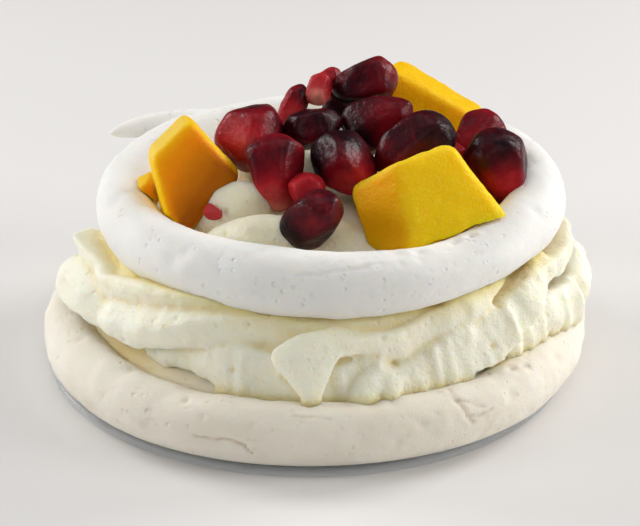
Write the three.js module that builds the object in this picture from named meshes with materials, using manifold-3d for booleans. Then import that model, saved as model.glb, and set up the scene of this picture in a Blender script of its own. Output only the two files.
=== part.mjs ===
// A one-portion pavlova, standing on the clear disc it is served on.
// Units are millimetres and +Z is up. The origin is the middle of the disc's underside, and the
// front of the cake faces -Y. Azimuths are degrees turned from +X towards +Y, so the front is 270.
// From the bottom up: disc, meringue nest, whipped cream, meringue ring, mango and pomegranate.

import * as THREE from 'three';
import { RoundedBoxGeometry } from 'three/addons/geometries/RoundedBoxGeometry.js';
import { mergeVertices } from 'three/addons/utils/BufferGeometryUtils.js';
import Module from 'manifold-3d';

const wasm = await Module();
wasm.setup();

// Driving dimensions.
const nestDiameter = 90;          // over the piped rim of the meringue nest
const nestBeadWidth = 8.8;        // the rim's bead, from side to side
const nestBeadHeight = 9.8;       // the rim's bead, from top to bottom before it is flattened
const nestGrooveThickness = 7.7;  // of the meringue under the groove inside the rim
const nestFloorRise = 1.7;        // of the floor over that groove
const nestFloorRound = 2.8;       // how wide the rounded edge of the floor is
const nestFlattening = 0.3;       // how far the bead's underside is pressed flat on the disc
const discDiameter = 87;
const discThickness = 1.4;
const ringDiameter = 77;          // over the upper ring of meringue
const ringBeadWidth = 9.4;
const ringBeadHeight = 10.4;
const ringHeight = 27.3;          // middle of the ring's bead above the table
const heapFoot = 8;               // lowest part of the cream, before the nest is cut out of it
const moundHeight = 32;           // top of the cream inside the ring
const clearance = 0.3;            // left between pieces that press on each other

// Where the nest, the cream and the ring sit over the disc: none was set down quite in the middle.
const nestCentre = [0.9, -0.8];
const heapCentre = [1.5, 0.5];
const ringCentre = [3.4, 1.3];
const ringLeanRight = 0.024;      // rise of the ring per millimetre towards +X
const ringLeanBack = 0.012;       // rise of the ring per millimetre towards +Y

// Mesh fineness.
const roundSteps = 40;
const heapSteps = 20;
const beadSides = 10;
const foldSides = 6;
const foldSteps = 8;
const lobeSteps = 5;
const arilSides = 8;
const arilSteps = 6;

const degrees = Math.PI / 180;

// ---------------------------------------------------------------- shared shaping functions

// Drops everything but the positions and welds the seams, so that the shape is one closed mesh.
function welded(geometry) {
  geometry.deleteAttribute('normal');
  geometry.deleteAttribute('uv');
  return mergeVertices(geometry, 1e-4);
}

// Moves every vertex to the place that the function gives for it.
function reshape(geometry, place) {
  const position = geometry.attributes.position;
  const point = new THREE.Vector3();
  for (let i = 0; i < position.count; i += 1) {
    point.fromBufferAttribute(position, i);
    place(point);
    position.setXYZ(i, point.x, point.y, point.z);
  }
  return geometry;
}

// Makes a solid of a closed mesh. A mesh whose faces point inwards is turned outside out first.
function solidFrom(geometry) {
  const triVerts = new Uint32Array(geometry.index.array);
  const vertProperties = new Float32Array(geometry.attributes.position.array);
  const solid = new wasm.Manifold(new wasm.Mesh({ numProp: 3, vertProperties, triVerts }));
  if (solid.volume() > 0) {
    return solid;
  }
  return new wasm.Manifold(new wasm.Mesh({ numProp: 3, vertProperties, triVerts: triVerts.reverse() }));
}

function geometryFrom(solid) {
  const { vertProperties, triVerts } = solid.getMesh();
  const geometry = new THREE.BufferGeometry();
  geometry.setAttribute('position', new THREE.BufferAttribute(vertProperties, 3));
  geometry.setIndex(new THREE.BufferAttribute(triVerts, 1));
  return geometry;
}

// Sum of a few cosine waves round the cake, each [waves per turn, height, azimuth of a crest].
function unevenness(azimuth, waves) {
  let sum = 0;
  for (const [count, height, crest] of waves) {
    sum += height * Math.cos(count * (azimuth - crest) * degrees);
  }
  return sum;
}

function azimuthOf(x, y) {
  return (Math.atan2(y, x) / degrees + 360) % 360;
}

function fromPolar(azimuth, radius, height) {
  const angle = azimuth * degrees;
  return new THREE.Vector3(radius * Math.cos(angle), radius * Math.sin(angle), height);
}

// ---------------------------------------------------------------- disc

// Thin clear disc with softened edges. Its underside is the flat face that the cake stands on.
function discGeometry() {
  const radius = discDiameter / 2;
  const edge = discThickness / 2;
  const profile = [new THREE.Vector2(0, 0)];
  for (let turn = -90; turn <= 90; turn += 90) {
    const angle = turn * degrees;
    profile.push(new THREE.Vector2(radius - edge + edge * Math.cos(angle), edge + edge * Math.sin(angle)));
  }
  profile.push(new THREE.Vector2(0, discThickness));
  return welded(new THREE.LatheGeometry(profile, roundSteps)).rotateX(Math.PI / 2);
}

// ---------------------------------------------------------------- meringue nest

const nestWidthWaves = [[2, 0.3, 40], [3, 0.25, 100], [5, 0.18, 20]];
const nestHeightWaves = [[2, 0.25, 120], [5, 0.2, 60], [7, 0.15, 10]];

// A thick flat floor with a bead piped round it as a rim, and a groove between the two. The bead is
// flattened below.
function nestGeometry(grow) {
  const halfWidth = nestBeadWidth / 2 + grow;
  const halfHeight = nestBeadHeight / 2 + grow;
  const beadRadius = (nestDiameter - nestBeadWidth) / 2;
  const beadMiddle = discThickness + nestBeadHeight / 2 - nestFlattening;
  const underside = discThickness - grow;
  const groove = discThickness + nestGrooveThickness + grow;
  const evenFoot = 1;             // the lowest part of the bead keeps its height all round
  const startTurn = -Math.asin((beadMiddle - underside) / halfHeight) / degrees;
  const endTurn = 180 + Math.asin((beadMiddle - groove) / halfHeight) / degrees;
  const profile = [new THREE.Vector2(0, underside)];
  for (let i = 0; i <= beadSides; i += 1) {
    const angle = THREE.MathUtils.lerp(startTurn, endTurn, i / beadSides) * degrees;
    const radius = beadRadius + halfWidth * Math.cos(angle);
    profile.push(new THREE.Vector2(radius, beadMiddle + halfHeight * Math.sin(angle)));
  }
  const grooveRadius = beadRadius + halfWidth * Math.cos(endTurn * degrees);
  for (const turn of [45, 90]) {
    const radius = grooveRadius - nestFloorRound * (1 - Math.cos(turn * degrees));
    profile.push(new THREE.Vector2(radius, groove + nestFloorRise * Math.sin(turn * degrees)));
  }
  profile.push(new THREE.Vector2(0, groove + nestFloorRise));
  const geometry = welded(new THREE.LatheGeometry(profile, roundSteps)).rotateX(Math.PI / 2);
  return reshape(geometry, (point) => {
    const azimuth = azimuthOf(point.x, point.y);
    const radius = Math.hypot(point.x, point.y);
    const outward = THREE.MathUtils.smoothstep(radius, beadRadius - halfWidth, beadRadius + halfWidth);
    const upward = THREE.MathUtils.smoothstep(point.z, underside + evenFoot, beadMiddle + halfHeight);
    const stretch = radius > 0 ? 1 + (outward * unevenness(azimuth, nestWidthWaves)) / radius : 1;
    point.x = point.x * stretch + nestCentre[0];
    point.y = point.y * stretch + nestCentre[1];
    point.z += upward * outward * unevenness(azimuth, nestHeightWaves);
  });
}

// ---------------------------------------------------------------- meringue ring

const ringWidthWaves = [[2, 0.2, 90], [3, 0.15, 20], [5, 0.15, 70]];
const ringHeightWaves = [[3, 0.15, 200], [5, 0.15, 30]];
const ringDip = { azimuth: 305, spread: 18, depth: 1.8 };   // where the front mango presses on it
const ringTail = {
  path: [[98, 33, 28], [114, 34.2, 28.6], [130, 36.6, 29.5], [142, 39.4, 30.2], [153, 42.6, 30.4]],
  halfWidth: [2.8, 3, 2.9, 2.4, 1],
  flatness: 0.85,
};

function ringMiddle(azimuth) {
  const radius = (ringDiameter - ringBeadWidth) / 2 + unevenness(azimuth, ringWidthWaves);
  const point = fromPolar(azimuth, radius, ringHeight + unevenness(azimuth, ringHeightWaves));
  point.z += ringLeanRight * point.x + ringLeanBack * point.y;
  point.x += ringCentre[0];
  point.y += ringCentre[1];
  return point;
}

// One bead of meringue piped in a closed loop, a little higher than it is wide.
function ringLoop(grow) {
  const loopRadius = 1;
  const beadRadius = 0.25;
  const torus = welded(new THREE.TorusGeometry(loopRadius, beadRadius, beadSides, roundSteps));
  const halfWidth = ringBeadWidth / 2 + grow;
  const halfHeight = ringBeadHeight / 2 + grow;
  return reshape(torus, (point) => {
    const azimuth = azimuthOf(point.x, point.y);
    const across = (Math.hypot(point.x, point.y) - loopRadius) / beadRadius;
    const above = point.z / beadRadius;
    const middle = ringMiddle(azimuth);
    const turned = fromPolar(azimuth, across * halfWidth, above * halfHeight);
    const offDip = (azimuth - ringDip.azimuth) / ringDip.spread;
    const dip = ringDip.depth * Math.exp(-offDip * offDip) * Math.max(0, above);
    point.copy(middle).add(turned);
    point.z -= dip;
  });
}

// The end of the piping: a tapering tail laid over the back of the ring, its tip sticking out.
function ringTailGeometry(grow) {
  const places = ringTail.path.map((step) => new THREE.Vector3(...step));
  const path = new THREE.CatmullRomCurve3(places);
  const widths = ringTail.halfWidth.map((width, i) => new THREE.Vector2(i, width));
  const taper = new THREE.SplineCurve(widths);
  return reshape(welded(new THREE.SphereGeometry(1, foldSides, foldSteps)), (point) => {
    const along = Math.acos(THREE.MathUtils.clamp(point.y, -1, 1)) / Math.PI;
    const around = Math.atan2(point.z, point.x);
    const [azimuth, radius, height] = path.getPoint(along).toArray();
    const closing = along > 0 && along < 1 ? 1 : 0;
    const halfWidth = (taper.getPoint(along).y + grow) * closing;
    point.copy(fromPolar(azimuth, radius + halfWidth * Math.cos(around), height));
    point.z += ringTail.flatness * halfWidth * Math.sin(around);
    point.x += ringCentre[0];
    point.y += ringCentre[1];
  });
}

function ringSolid(grow) {
  return solidFrom(ringLoop(grow)).add(solidFrom(ringTailGeometry(grow)));
}

// ---------------------------------------------------------------- whipped cream

// Folds of cream, each drawn out along its rails: the lip first, then up its face to the shelf on
// top. A rail is a list of [azimuth, radius, height]. The root is [inward, upward] from the rails.
const creamFolds = [
  // Left side: the long fold, the recessed one below it, and the band under the ring.
  { rails: [
    [[205, 38.2, 13.4], [214, 39.4, 12.4], [225, 38.4, 12.6], [238, 38.1, 14.8], [251, 37.4, 15.9],
      [272, 35.4, 16.6]],
    [[205, 38, 16], [216, 39.8, 16], [229, 39.5, 17.8], [241, 38.7, 20.8], [253, 37.2, 23],
      [272, 34.6, 24]],
    [[205, 36.2, 19], [216, 37, 19.8], [229, 36.4, 21.4], [241, 35.8, 22.4], [253, 34.6, 23.4],
      [272, 33, 23.6]],
  ], root: [9, 0] },
  { rails: [
    [[214, 34, 9], [227, 35.4, 9.4], [238, 36.2, 10.4], [247, 37.6, 10.2], [255, 39.4, 8.6],
      [268, 39.8, 8.2], [294, 39, 8.2]],
    [[214, 34.4, 11.6], [227, 36, 13.8], [238, 36.8, 16], [247, 37, 17.8], [256, 37.4, 19],
      [268, 37.4, 18.6], [294, 36.6, 17]],
  ], root: [9, 0] },
  { rails: [
    [[196, 36.8, 18], [209, 37.5, 17], [221, 37, 19.2], [236, 36.2, 20.4], [250, 35, 21.4],
      [266, 33.6, 22.2]],
    [[198, 37.4, 22.6], [210, 38, 23], [222, 37.6, 24], [236, 36.8, 24.6], [250, 35.8, 24.8],
      [266, 34.6, 24.8]],
  ], root: [9, -1] },
  // Left edge: the bulge that hangs over the rim, and the ear beside the ring.
  { rails: [
    [[160, 38, 11.4], [176, 40.8, 11.8], [190, 42, 12.6], [202, 41.4, 13.4], [212, 39.8, 12.6],
      [224, 37.4, 12]],
    [[160, 38, 14], [176, 40.2, 15], [190, 41.2, 17], [202, 40, 18.2], [212, 38.8, 16.4], [224, 37, 14]],
    [[160, 36.4, 15.6], [176, 37.4, 17], [190, 38.2, 20], [202, 37.8, 20.4], [212, 37, 18.8],
      [224, 36, 17]],
  ], root: [9, -1] },
  { rails: [
    [[174, 36, 18.5], [184, 37.2, 18], [192, 37.2, 18.4], [199, 37, 19], [208, 36.6, 20]],
    [[176, 36.6, 22], [184, 38.8, 23.2], [190, 39.2, 24.2], [197, 38.2, 23.8], [208, 36.6, 23.2]],
  ], root: [7, -1] },
  // Middle: the ribbon, and the hook that hangs from its left end.
  { rails: [
    [[264, 37.6, 16.6], [274, 38.5, 16.8], [285, 38.1, 16.2], [292, 37.9, 14.6], [300, 38, 16.2],
      [308, 37, 17.6]],
    [[264, 38, 19], [274, 38.9, 20.4], [285, 38.6, 20.7], [292, 38.2, 20.9], [300, 37.8, 22.2],
      [308, 36.2, 23.4]],
    [[264, 36.2, 19.6], [274, 36.2, 20.2], [285, 35.8, 20], [292, 35.6, 20.2], [300, 35.6, 22],
      [308, 34.8, 23]],
  ], root: [9, 0] },
  { rails: [
    [[281, 35.4, 20.4], [270, 38, 21.6], [263.4, 38.6, 20], [260.6, 39.2, 17.6], [264, 40, 14.4],
      [267.8, 40.6, 12], [271.2, 41, 9]],
    [[284, 35.6, 20], [275, 38.9, 20.8], [270, 40.2, 19.4], [268.8, 40.6, 17], [269.6, 41, 14.4],
      [270.6, 41.2, 12], [272, 41, 9]],
    [[287, 35.6, 19], [282, 38.2, 19], [279.4, 39, 18], [277.2, 39.5, 16.4], [275.6, 40, 14.4],
      [274.4, 40.4, 12], [273, 40.6, 9]],
  ], root: [4, 0] },
  // The cream behind them, which shows down in the creases.
  { rails: [
    [[244, 35, 13.6], [258, 36, 14.2], [272, 36.6, 14], [286, 36.8, 13.8], [299, 37, 15.4],
      [316, 37, 17]],
    [[244, 34.8, 17.4], [258, 36, 18.6], [272, 36.6, 19], [286, 36.8, 18.6], [299, 36.9, 20],
      [316, 36.8, 21.4]],
  ], root: [9, 0] },
  // The dab beside the hook: a block with a craggy face, hollowed out below between its two feet.
  { rails: [
    [[271, 37.6, 9.4], [275.6, 39, 9.2], [279.6, 39.6, 9.4], [283.6, 39, 12.9], [287.4, 39.6, 9.8],
      [292, 38.6, 9.4]],
    [[271, 36.8, 15.8], [275.6, 37.4, 16.6], [279.6, 37.8, 17], [283.6, 38, 17.2], [287.4, 38, 17],
      [292.4, 37, 15.6]],
  ], root: [5, 0] },
  // Right side: the wide slanting fold with the ruffled lip, and the band above it.
  { rails: [
    [[280, 38.8, 8.2], [292, 40.2, 8], [300, 41.3, 8.4], [304, 42, 9.8], [313, 43, 11.4],
      [321, 43.4, 14.2], [330, 43.4, 17.2], [342, 41.4, 22]],
    [[280, 37.4, 15.6], [292, 38.8, 17], [300, 39.1, 18.8], [306, 39.2, 19.6], [313, 39.4, 20],
      [321, 39.9, 22], [330, 40.2, 24.4], [342, 39, 25]],
  ], root: [9, 0] },
  { rails: [
    [[290, 37, 16.6], [302, 38.1, 17], [311, 38.6, 17.8], [319, 38.4, 20.6], [328, 37.4, 23]],
    [[292, 36.8, 22], [302, 37.8, 23], [311, 38.2, 23.6], [319, 38.2, 24.4], [328, 37.4, 25]],
  ], root: [8, 0] },
  // Right edge: the fold that leans over the rim, and the ear beside the ring.
  { rails: [
    [[306, 38, 9.4], [322, 40.8, 9.6], [336, 42.8, 9.4], [350, 45.2, 9.8], [368, 45.4, 11.6],
      [388, 42.5, 12]],
    [[306, 38, 14], [322, 41, 14.4], [336, 43.6, 14], [350, 46.6, 13.8], [368, 46.8, 15.2],
      [388, 42.8, 16]],
    [[306, 36.6, 17], [322, 39.2, 18.6], [336, 42.2, 18.8], [350, 44.6, 18], [368, 44.4, 19.2],
      [388, 41, 20]],
  ], root: [10, 0] },
  { rails: [
    [[324, 39.6, 19], [338, 41.6, 18.4], [354, 42.6, 17.6], [370, 41.6, 17.8], [392, 38.6, 17]],
    [[324, 40.2, 23.6], [338, 42.4, 24], [354, 43.8, 24], [370, 42.4, 23.4], [392, 38.8, 22]],
  ], root: [9, -1] },
  // Back: the same pairs of long folds, low and high, carried round to the left.
  { rails: [
    [[12, 40.6, 12], [34, 42, 12], [54, 41, 14.4], [76, 38.4, 16]],
    [[12, 41, 15], [34, 42.4, 15.4], [54, 40.6, 18.6], [76, 37.6, 22]],
    [[12, 39, 18], [34, 39, 19], [54, 37.6, 21], [76, 35, 23]],
  ], root: [9, 0] },
  { rails: [
    [[18, 38.8, 18], [40, 39, 18.6], [60, 37.4, 20], [84, 35, 21.4]],
    [[18, 40, 22], [40, 40.2, 22.4], [60, 38.4, 23.4], [84, 36, 24.6]],
  ], root: [9, 0] },
  { rails: [
    [[52, 38, 10.6], [78, 40, 11], [98, 40.2, 12], [118, 38.2, 14.4], [134, 35.6, 16.4]],
    [[52, 37.6, 13], [78, 40.2, 14], [98, 40.2, 16], [118, 38, 19.6], [134, 35.2, 22]],
    [[52, 35.4, 15], [78, 37.6, 16.8], [98, 37.4, 19], [118, 35.6, 21.6], [134, 33.6, 23]],
  ], root: [9, 0] },
  { rails: [
    [[76, 36.2, 17], [102, 36.8, 17.8], [122, 36.2, 19], [146, 34.6, 20]],
    [[76, 37, 22], [102, 37.4, 22.6], [122, 37, 23.2], [146, 35.6, 23.6]],
  ], root: [9, 0] },
  { rails: [
    [[102, 38, 10.4], [128, 40.2, 10.8], [146, 40, 11.6], [162, 38, 12.8], [176, 36, 14]],
    [[102, 37.6, 13], [128, 40.2, 14.2], [146, 39.6, 15.6], [162, 37.2, 17.4], [176, 35.6, 19]],
    [[102, 35.4, 15], [128, 37.4, 17], [146, 36.6, 18.6], [162, 35, 20], [176, 34, 21.4]],
  ], root: [9, 0] },
];

// Lobes of cream, each a tapering drop from one point to another, with its width and thickness.
const creamLobes = [
  // The nose that runs down the dab's face to one foot, and the other foot.
  { from: [10.6, -36.2, 15.6], to: [6.6, -40.4, 9.2], width: 4.6, thickness: 2.8, taper: 0.4 },
  { from: [11.4, -36, 15], to: [12.6, -38.9, 9], width: 4.2, thickness: 2.8, taper: 0.4 },
  // The ridges that stand up inside the ring, between the pieces of fruit.
  { from: [-17, -14, 25], to: [-6, -13, 34.2], width: 11, thickness: 7, taper: 0.2 },
  { from: [-18, -20, 26], to: [2, -21.5, 30.6], width: 8.4, thickness: 7, taper: 0.1 },
  { from: [6, -15, 21], to: [3.2, -19, 31.6], width: 8, thickness: 7, taper: 0.4 },
  { from: [-2, -3, 27], to: [0, -6, 37.6], width: 10, thickness: 8, taper: 0.4 },
  // The peaks that hold up the topmost arils and the left ones.
  { from: [3, 11, 26], to: [-0.6, 7.2, 40], width: 11, thickness: 9, taper: 0.2 },
  { from: [-7, 5, 24], to: [-8.6, 0, 36], width: 12, thickness: 11, taper: 0.2 },
];

const foldEndPower = 0.35;        // the smaller, the blunter the ends of a fold
const coreShares = [0.5, 0.3, 0.2];   // of lip, next rail and root in the line a fold closes to
const lobeEndPower = 0.7;         // the smaller, the blunter the ends of a lobe

// A fold's section has a corner on each rail and one at the root, half-way up inside.
function foldGeometry({ rails, root }) {
  const paths = rails.map((rail) => (
    new THREE.CatmullRomCurve3(rail.map((step) => new THREE.Vector3(...step)))
  ));
  const sides = rails.length + 1;
  return reshape(welded(new THREE.SphereGeometry(1, sides, foldSteps)), (point) => {
    const along = Math.acos(THREE.MathUtils.clamp(point.y, -1, 1)) / Math.PI;
    const around = Math.PI - Math.atan2(point.z, point.x);
    const side = Math.round((around / (2 * Math.PI)) * sides) % sides;
    const swell = Math.max(0, Math.sin(Math.PI * along)) ** foldEndPower;
    const places = paths.map((path) => path.getPoint(along));
    const rootPlace = places[0].clone().add(places[rails.length - 1]).divideScalar(2);
    rootPlace.y -= root[0];
    rootPlace.z += root[1];
    const corners = [...places, rootPlace].map((place) => fromPolar(...place.toArray()));
    const core = new THREE.Vector3();
    [corners[0], corners[1], corners[rails.length]].forEach((corner, i) => {
      core.addScaledVector(corner, coreShares[i]);
    });
    point.copy(corners[side]).sub(core).multiplyScalar(swell).add(core);
  });
}

// A lobe is a drop between two points, a flat oval in section. The taper thins its far half.
function lobeGeometry({ from, to, width, thickness, taper }) {
  const start = new THREE.Vector3(...from);
  const axis = new THREE.Vector3(...to).sub(start);
  const outward = new THREE.Vector3(0, -1, 0.3).normalize();
  const side = new THREE.Vector3().crossVectors(axis, outward).normalize();
  const depth = new THREE.Vector3().crossVectors(side, axis).normalize();
  return reshape(welded(new THREE.SphereGeometry(1, foldSides, lobeSteps)), (point) => {
    const along = Math.acos(THREE.MathUtils.clamp(point.y, -1, 1)) / Math.PI;
    const around = Math.atan2(point.z, point.x);
    const thinning = 1 + taper * (0.5 - 2 * along + along * along);
    const swell = Math.max(0, Math.sin(Math.PI * along)) ** lobeEndPower * thinning;
    point.copy(start).addScaledVector(axis, along);
    point.addScaledVector(side, (width / 2) * swell * Math.cos(around));
    point.addScaledVector(depth, (thickness / 2) * swell * Math.sin(around));
  });
}

// The heap behind the folds: a wide column up to the ring and a mound inside it.
function creamHeap() {
  const outline = [
    [0, heapFoot], [32.6, heapFoot], [33, 12], [35.2, 15.4], [35.4, 21], [29, 26],
    [22, 28], [14, moundHeight - 1.5], [0, moundHeight],
  ];
  const profile = outline.map(([radius, height]) => new THREE.Vector2(radius, height));
  const geometry = welded(new THREE.LatheGeometry(profile, heapSteps)).rotateX(Math.PI / 2);
  return geometry.translate(...heapCentre, 0);
}

// ---------------------------------------------------------------- fruit

// The point where three flat cuts meet. Each cut is [azimuth, elevation, distance] of a plane
// from the middle of the piece.
function cutCorner(cuts) {
  const rows = cuts.map(([azimuth, elevation]) => (
    fromPolar(azimuth, Math.cos(elevation * degrees), Math.sin(elevation * degrees))
  ));
  const planes = new THREE.Matrix3().set(
    rows[0].x, rows[0].y, rows[0].z,
    rows[1].x, rows[1].y, rows[1].z,
    rows[2].x, rows[2].y, rows[2].z,
  );
  const distances = new THREE.Vector3(...cuts.map((cut) => cut[2]));
  return distances.applyMatrix3(planes.invert());
}

// A block cut from ripe fruit: six flat cuts in facing pairs, with soft edges. A box with rounded
// edges is stretched so that its eight corners go to where the cuts meet.
function mangoGeometry(cutPairs, grow) {
  const edgeRadius = 0.12;        // as a part of the box's side
  const box = welded(new RoundedBoxGeometry(1, 1, 1, 1, edgeRadius));
  const corners = new Map();
  for (const i of [0, 1]) {
    for (const j of [0, 1]) {
      for (const k of [0, 1]) {
        const cuts = [cutPairs[0][i], cutPairs[1][j], cutPairs[2][k]];
        corners.set(`${i}${j}${k}`, cutCorner(cuts.map(([az, el, away]) => [az, el, away + grow])));
      }
    }
  }
  return reshape(box, (point) => {
    const [u, v, w] = point.toArray().map((value) => value + 0.5);
    point.set(0, 0, 0);
    for (const [key, corner] of corners) {
      const [i, j, k] = [...key].map(Number);
      const share = (i ? u : 1 - u) * (j ? v : 1 - v) * (k ? w : 1 - w);
      point.addScaledVector(corner, share);
    }
  });
}

const mangoPieces = {
  mango_left: {
    middle: [-18.6, -8.3, 35.6],
    cutPairs: [
      [[283, 16, 5.4], [100, -15, 4.6]],
      [[19, 39, 5.2], [193, -11, 6]],
      [[351, -44, 6.6], [175, 48, 6.4]],
    ],
  },
  mango_front: {
    middle: [17.5, -17, 33.5],
    cutPairs: [
      [[279, 30, 4.8], [137, -37, 7.6]],
      [[229, 15, 6.4], [25, 32, 8.6]],
      [[129, 54, 6.6], [336, -75, 6.3]],
    ],
  },
  mango_back: {
    middle: [20.5, 21, 36],
    cutPairs: [
      [[92, -15, 4.8], [269, 9, 5.7]],
      [[4, 60, 3.5], [202, -57, 6.5]],
      [[164, 29, 8.9], [340, -23, 9.3]],
    ],
  },
  mango_small: {
    middle: [-26.1, -6, 30.2],
    cutPairs: [
      [[95, -20, 3], [275, 20, 2.2]],
      [[0, 30, 2], [180, -30, 2]],
      [[180, 60, 2], [0, -60, 2.4]],
    ],
  },
};

// Pomegranate arils: [x, y, z], [length, width], heading and pitch of the narrow end, and how much
// that end narrows.
const arils = [
  { at: [-9.8, -1, 38.1], size: [11.8, 9.6], heading: 155, pitch: 0, narrowing: 0.3 },
  { at: [-5.1, -11, 35.7], size: [13.3, 7.8], heading: 285, pitch: -60, narrowing: 0.3 },
  { at: [-0.2, -15, 34.5], size: [5.8, 5.4], heading: 15, pitch: 35, narrowing: 0.2 },
  { at: [0.6, -23.4, 33.2], size: [13.2, 7.6], heading: 315, pitch: 42, narrowing: 0.2 },
  { at: [5.2, -9, 36.7], size: [9.6, 9.8], heading: 165, pitch: -40, narrowing: 0.15 },
  { at: [-2.6, 7.5, 40.2], size: [8.8, 3.8], heading: 20, pitch: 65, narrowing: 0.05 },
  { at: [1.6, 8.2, 43], size: [6.2, 3.8], heading: 60, pitch: 55, narrowing: 0.15 },
  { at: [3.4, 12.2, 43.4], size: [5, 3], heading: 25, pitch: 35, narrowing: 0.2 },
  { at: [0.6, 0.6, 39.1], size: [10.4, 5.8], heading: 15, pitch: 12, narrowing: 0.2 },
  { at: [9.2, 9.5, 43.7], size: [11.9, 6.5], heading: 175, pitch: -18, narrowing: 0.15 },
  { at: [11.4, 2.2, 39.6], size: [12.8, 7.8], heading: 345, pitch: 32, narrowing: 0.4 },
  { at: [16.5, -5.6, 38.2], size: [15.4, 7.6], heading: 200, pitch: -27, narrowing: 0.2 },
  { at: [27.6, 4.8, 35.3], size: [12, 7.3], heading: 240, pitch: -23, narrowing: 0.2 },
  { at: [30.3, -5.2, 34.5], size: [13.7, 8.5], heading: 315, pitch: -70, narrowing: 0.3 },
  { at: [22.4, -2, 34.6], size: [6.4, 4.8], heading: 240, pitch: -10, narrowing: 0.2 },
  { at: [6.4, 13.4, 38.6], size: [10, 7.6], heading: 100, pitch: 0, narrowing: 0.2 },
  { at: [-14.7, -16.4, 31.2], size: [3.4, 2.2], heading: 330, pitch: -10, narrowing: 0.2 },
  { at: [-11.2, 1.6, 31.5], size: [5.2, 3.4], heading: 180, pitch: 25, narrowing: 0.35 },
];

const arilFlatness = 0.95;        // an aril's thickness as a part of its width
const flatTurn = 23;              // degrees that each aril's flats are turned from the last one's

// How far a bead bounded by several flat cuts reaches in a direction. The lower the crispness,
// the rounder the edges between the cuts.
function facetedReach(direction, sides, crispness) {
  let sum = 0;
  for (const [azimuth, elevation, distance] of sides) {
    const facing = fromPolar(azimuth, Math.cos(elevation * degrees), Math.sin(elevation * degrees));
    sum += (Math.max(0, facing.dot(direction)) / distance) ** crispness;
  }
  return sum ** (-1 / crispness);
}

// An aril is a juicy bead with flats where it was packed against its neighbours, and it narrows
// to the end that was joined to the pith. Its flats are turned a little differently each time.
function arilGeometry({ size, heading, pitch, narrowing }, number, grow) {
  const crispness = 7;
  const flatsPerBelt = 5;
  const spacing = 360 / flatsPerBelt;
  const belts = [[-58, 0], [0, spacing / 2], [58, 0]];   // elevation, and how far the belt is turned
  const sides = [[0, 90, 1], [0, -90, 1]];
  for (const [elevation, offset] of belts) {
    for (let k = 0; k < flatsPerBelt; k += 1) {
      sides.push([spacing * k + offset + flatTurn * number, elevation, 1]);
    }
  }
  const [length, width] = size.map((extent) => extent / 2 + grow);
  const thickness = arilFlatness * width;
  const turn = new THREE.Euler(0, -pitch * degrees, heading * degrees, 'ZYX');
  return reshape(welded(new THREE.SphereGeometry(1, arilSides, arilSteps)), (point) => {
    point.multiplyScalar(facetedReach(point, sides, crispness));
    const slimmer = 1 - narrowing * point.z;
    point.set(length * point.z, width * slimmer * point.x, thickness * slimmer * point.y);
    point.applyEuler(turn);
  });
}

// ---------------------------------------------------------------- assembly

const finishes = {
  disc: { color: 0xdfe6ea, roughness: 0.05, metalness: 0 },
  meringue: { color: 0xf3efe6, roughness: 0.9, metalness: 0 },
  cream: { color: 0xf4ecd2, roughness: 0.6, metalness: 0 },
  mango: { color: 0xeab21c, roughness: 0.35, metalness: 0 },
  aril: { color: 0x5c0d1c, roughness: 0.2, metalness: 0 },
};

const pavlova = new THREE.Group();

function place(name, geometry, finish, at = [0, 0, 0]) {
  const mesh = new THREE.Mesh(geometry, new THREE.MeshStandardMaterial(finishes[finish]));
  mesh.name = name;
  mesh.position.set(...at);
  pavlova.add(mesh);
}

place('disc', discGeometry(), 'disc');
place('meringue_base', nestGeometry(0), 'meringue');
place('meringue_ring', geometryFrom(ringSolid(0)), 'meringue');

// Fruit goes on one piece at a time. Each piece keeps clear of the ring and of those before it.
let occupied = ringSolid(clearance);

function settle(name, shape, finish, at) {
  const shapeAt = (grow) => solidFrom(shape(grow)).translate(at);
  const settled = shapeAt(0).subtract(occupied);
  occupied = occupied.add(shapeAt(clearance));
  place(name, geometryFrom(settled.translate(at.map((value) => -value))), finish, at);
}

for (const [name, { middle, cutPairs }] of Object.entries(mangoPieces)) {
  settle(name, (grow) => mangoGeometry(cutPairs, grow), 'mango', middle);
}
arils.forEach((aril, i) => {
  const name = `aril_${String(i + 1).padStart(2, '0')}`;
  settle(name, (grow) => arilGeometry(aril, i, grow), 'aril', aril.at);
});

// The cream fills what is left: folds and lobes on the heap, cut by everything it touches.
let cream = solidFrom(creamHeap());
for (const fold of creamFolds) {
  cream = cream.add(solidFrom(foldGeometry(fold)));
}
for (const lobe of creamLobes) {
  cream = cream.add(solidFrom(lobeGeometry(lobe)));
}
cream = cream.subtract(solidFrom(nestGeometry(clearance))).subtract(occupied);
// Crumbs of cream that the cuts left hanging between the fruit are dropped.
const [heap] = cream.decompose().sort((one, other) => other.volume() - one.volume());
place('cream', geometryFrom(heap), 'cream');

export default pavlova;
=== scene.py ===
# A one-portion pavlova on its clear disc, seen from the front and a little above.
# The frame is in metres. Shapes below are worked out in millimetres and scaled once, when each
# piece is made. Azimuths are degrees from +X towards +Y, so the front of the cake is 270.
import math

import bpy
import numpy as np
from mathutils import Matrix, Vector


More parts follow.
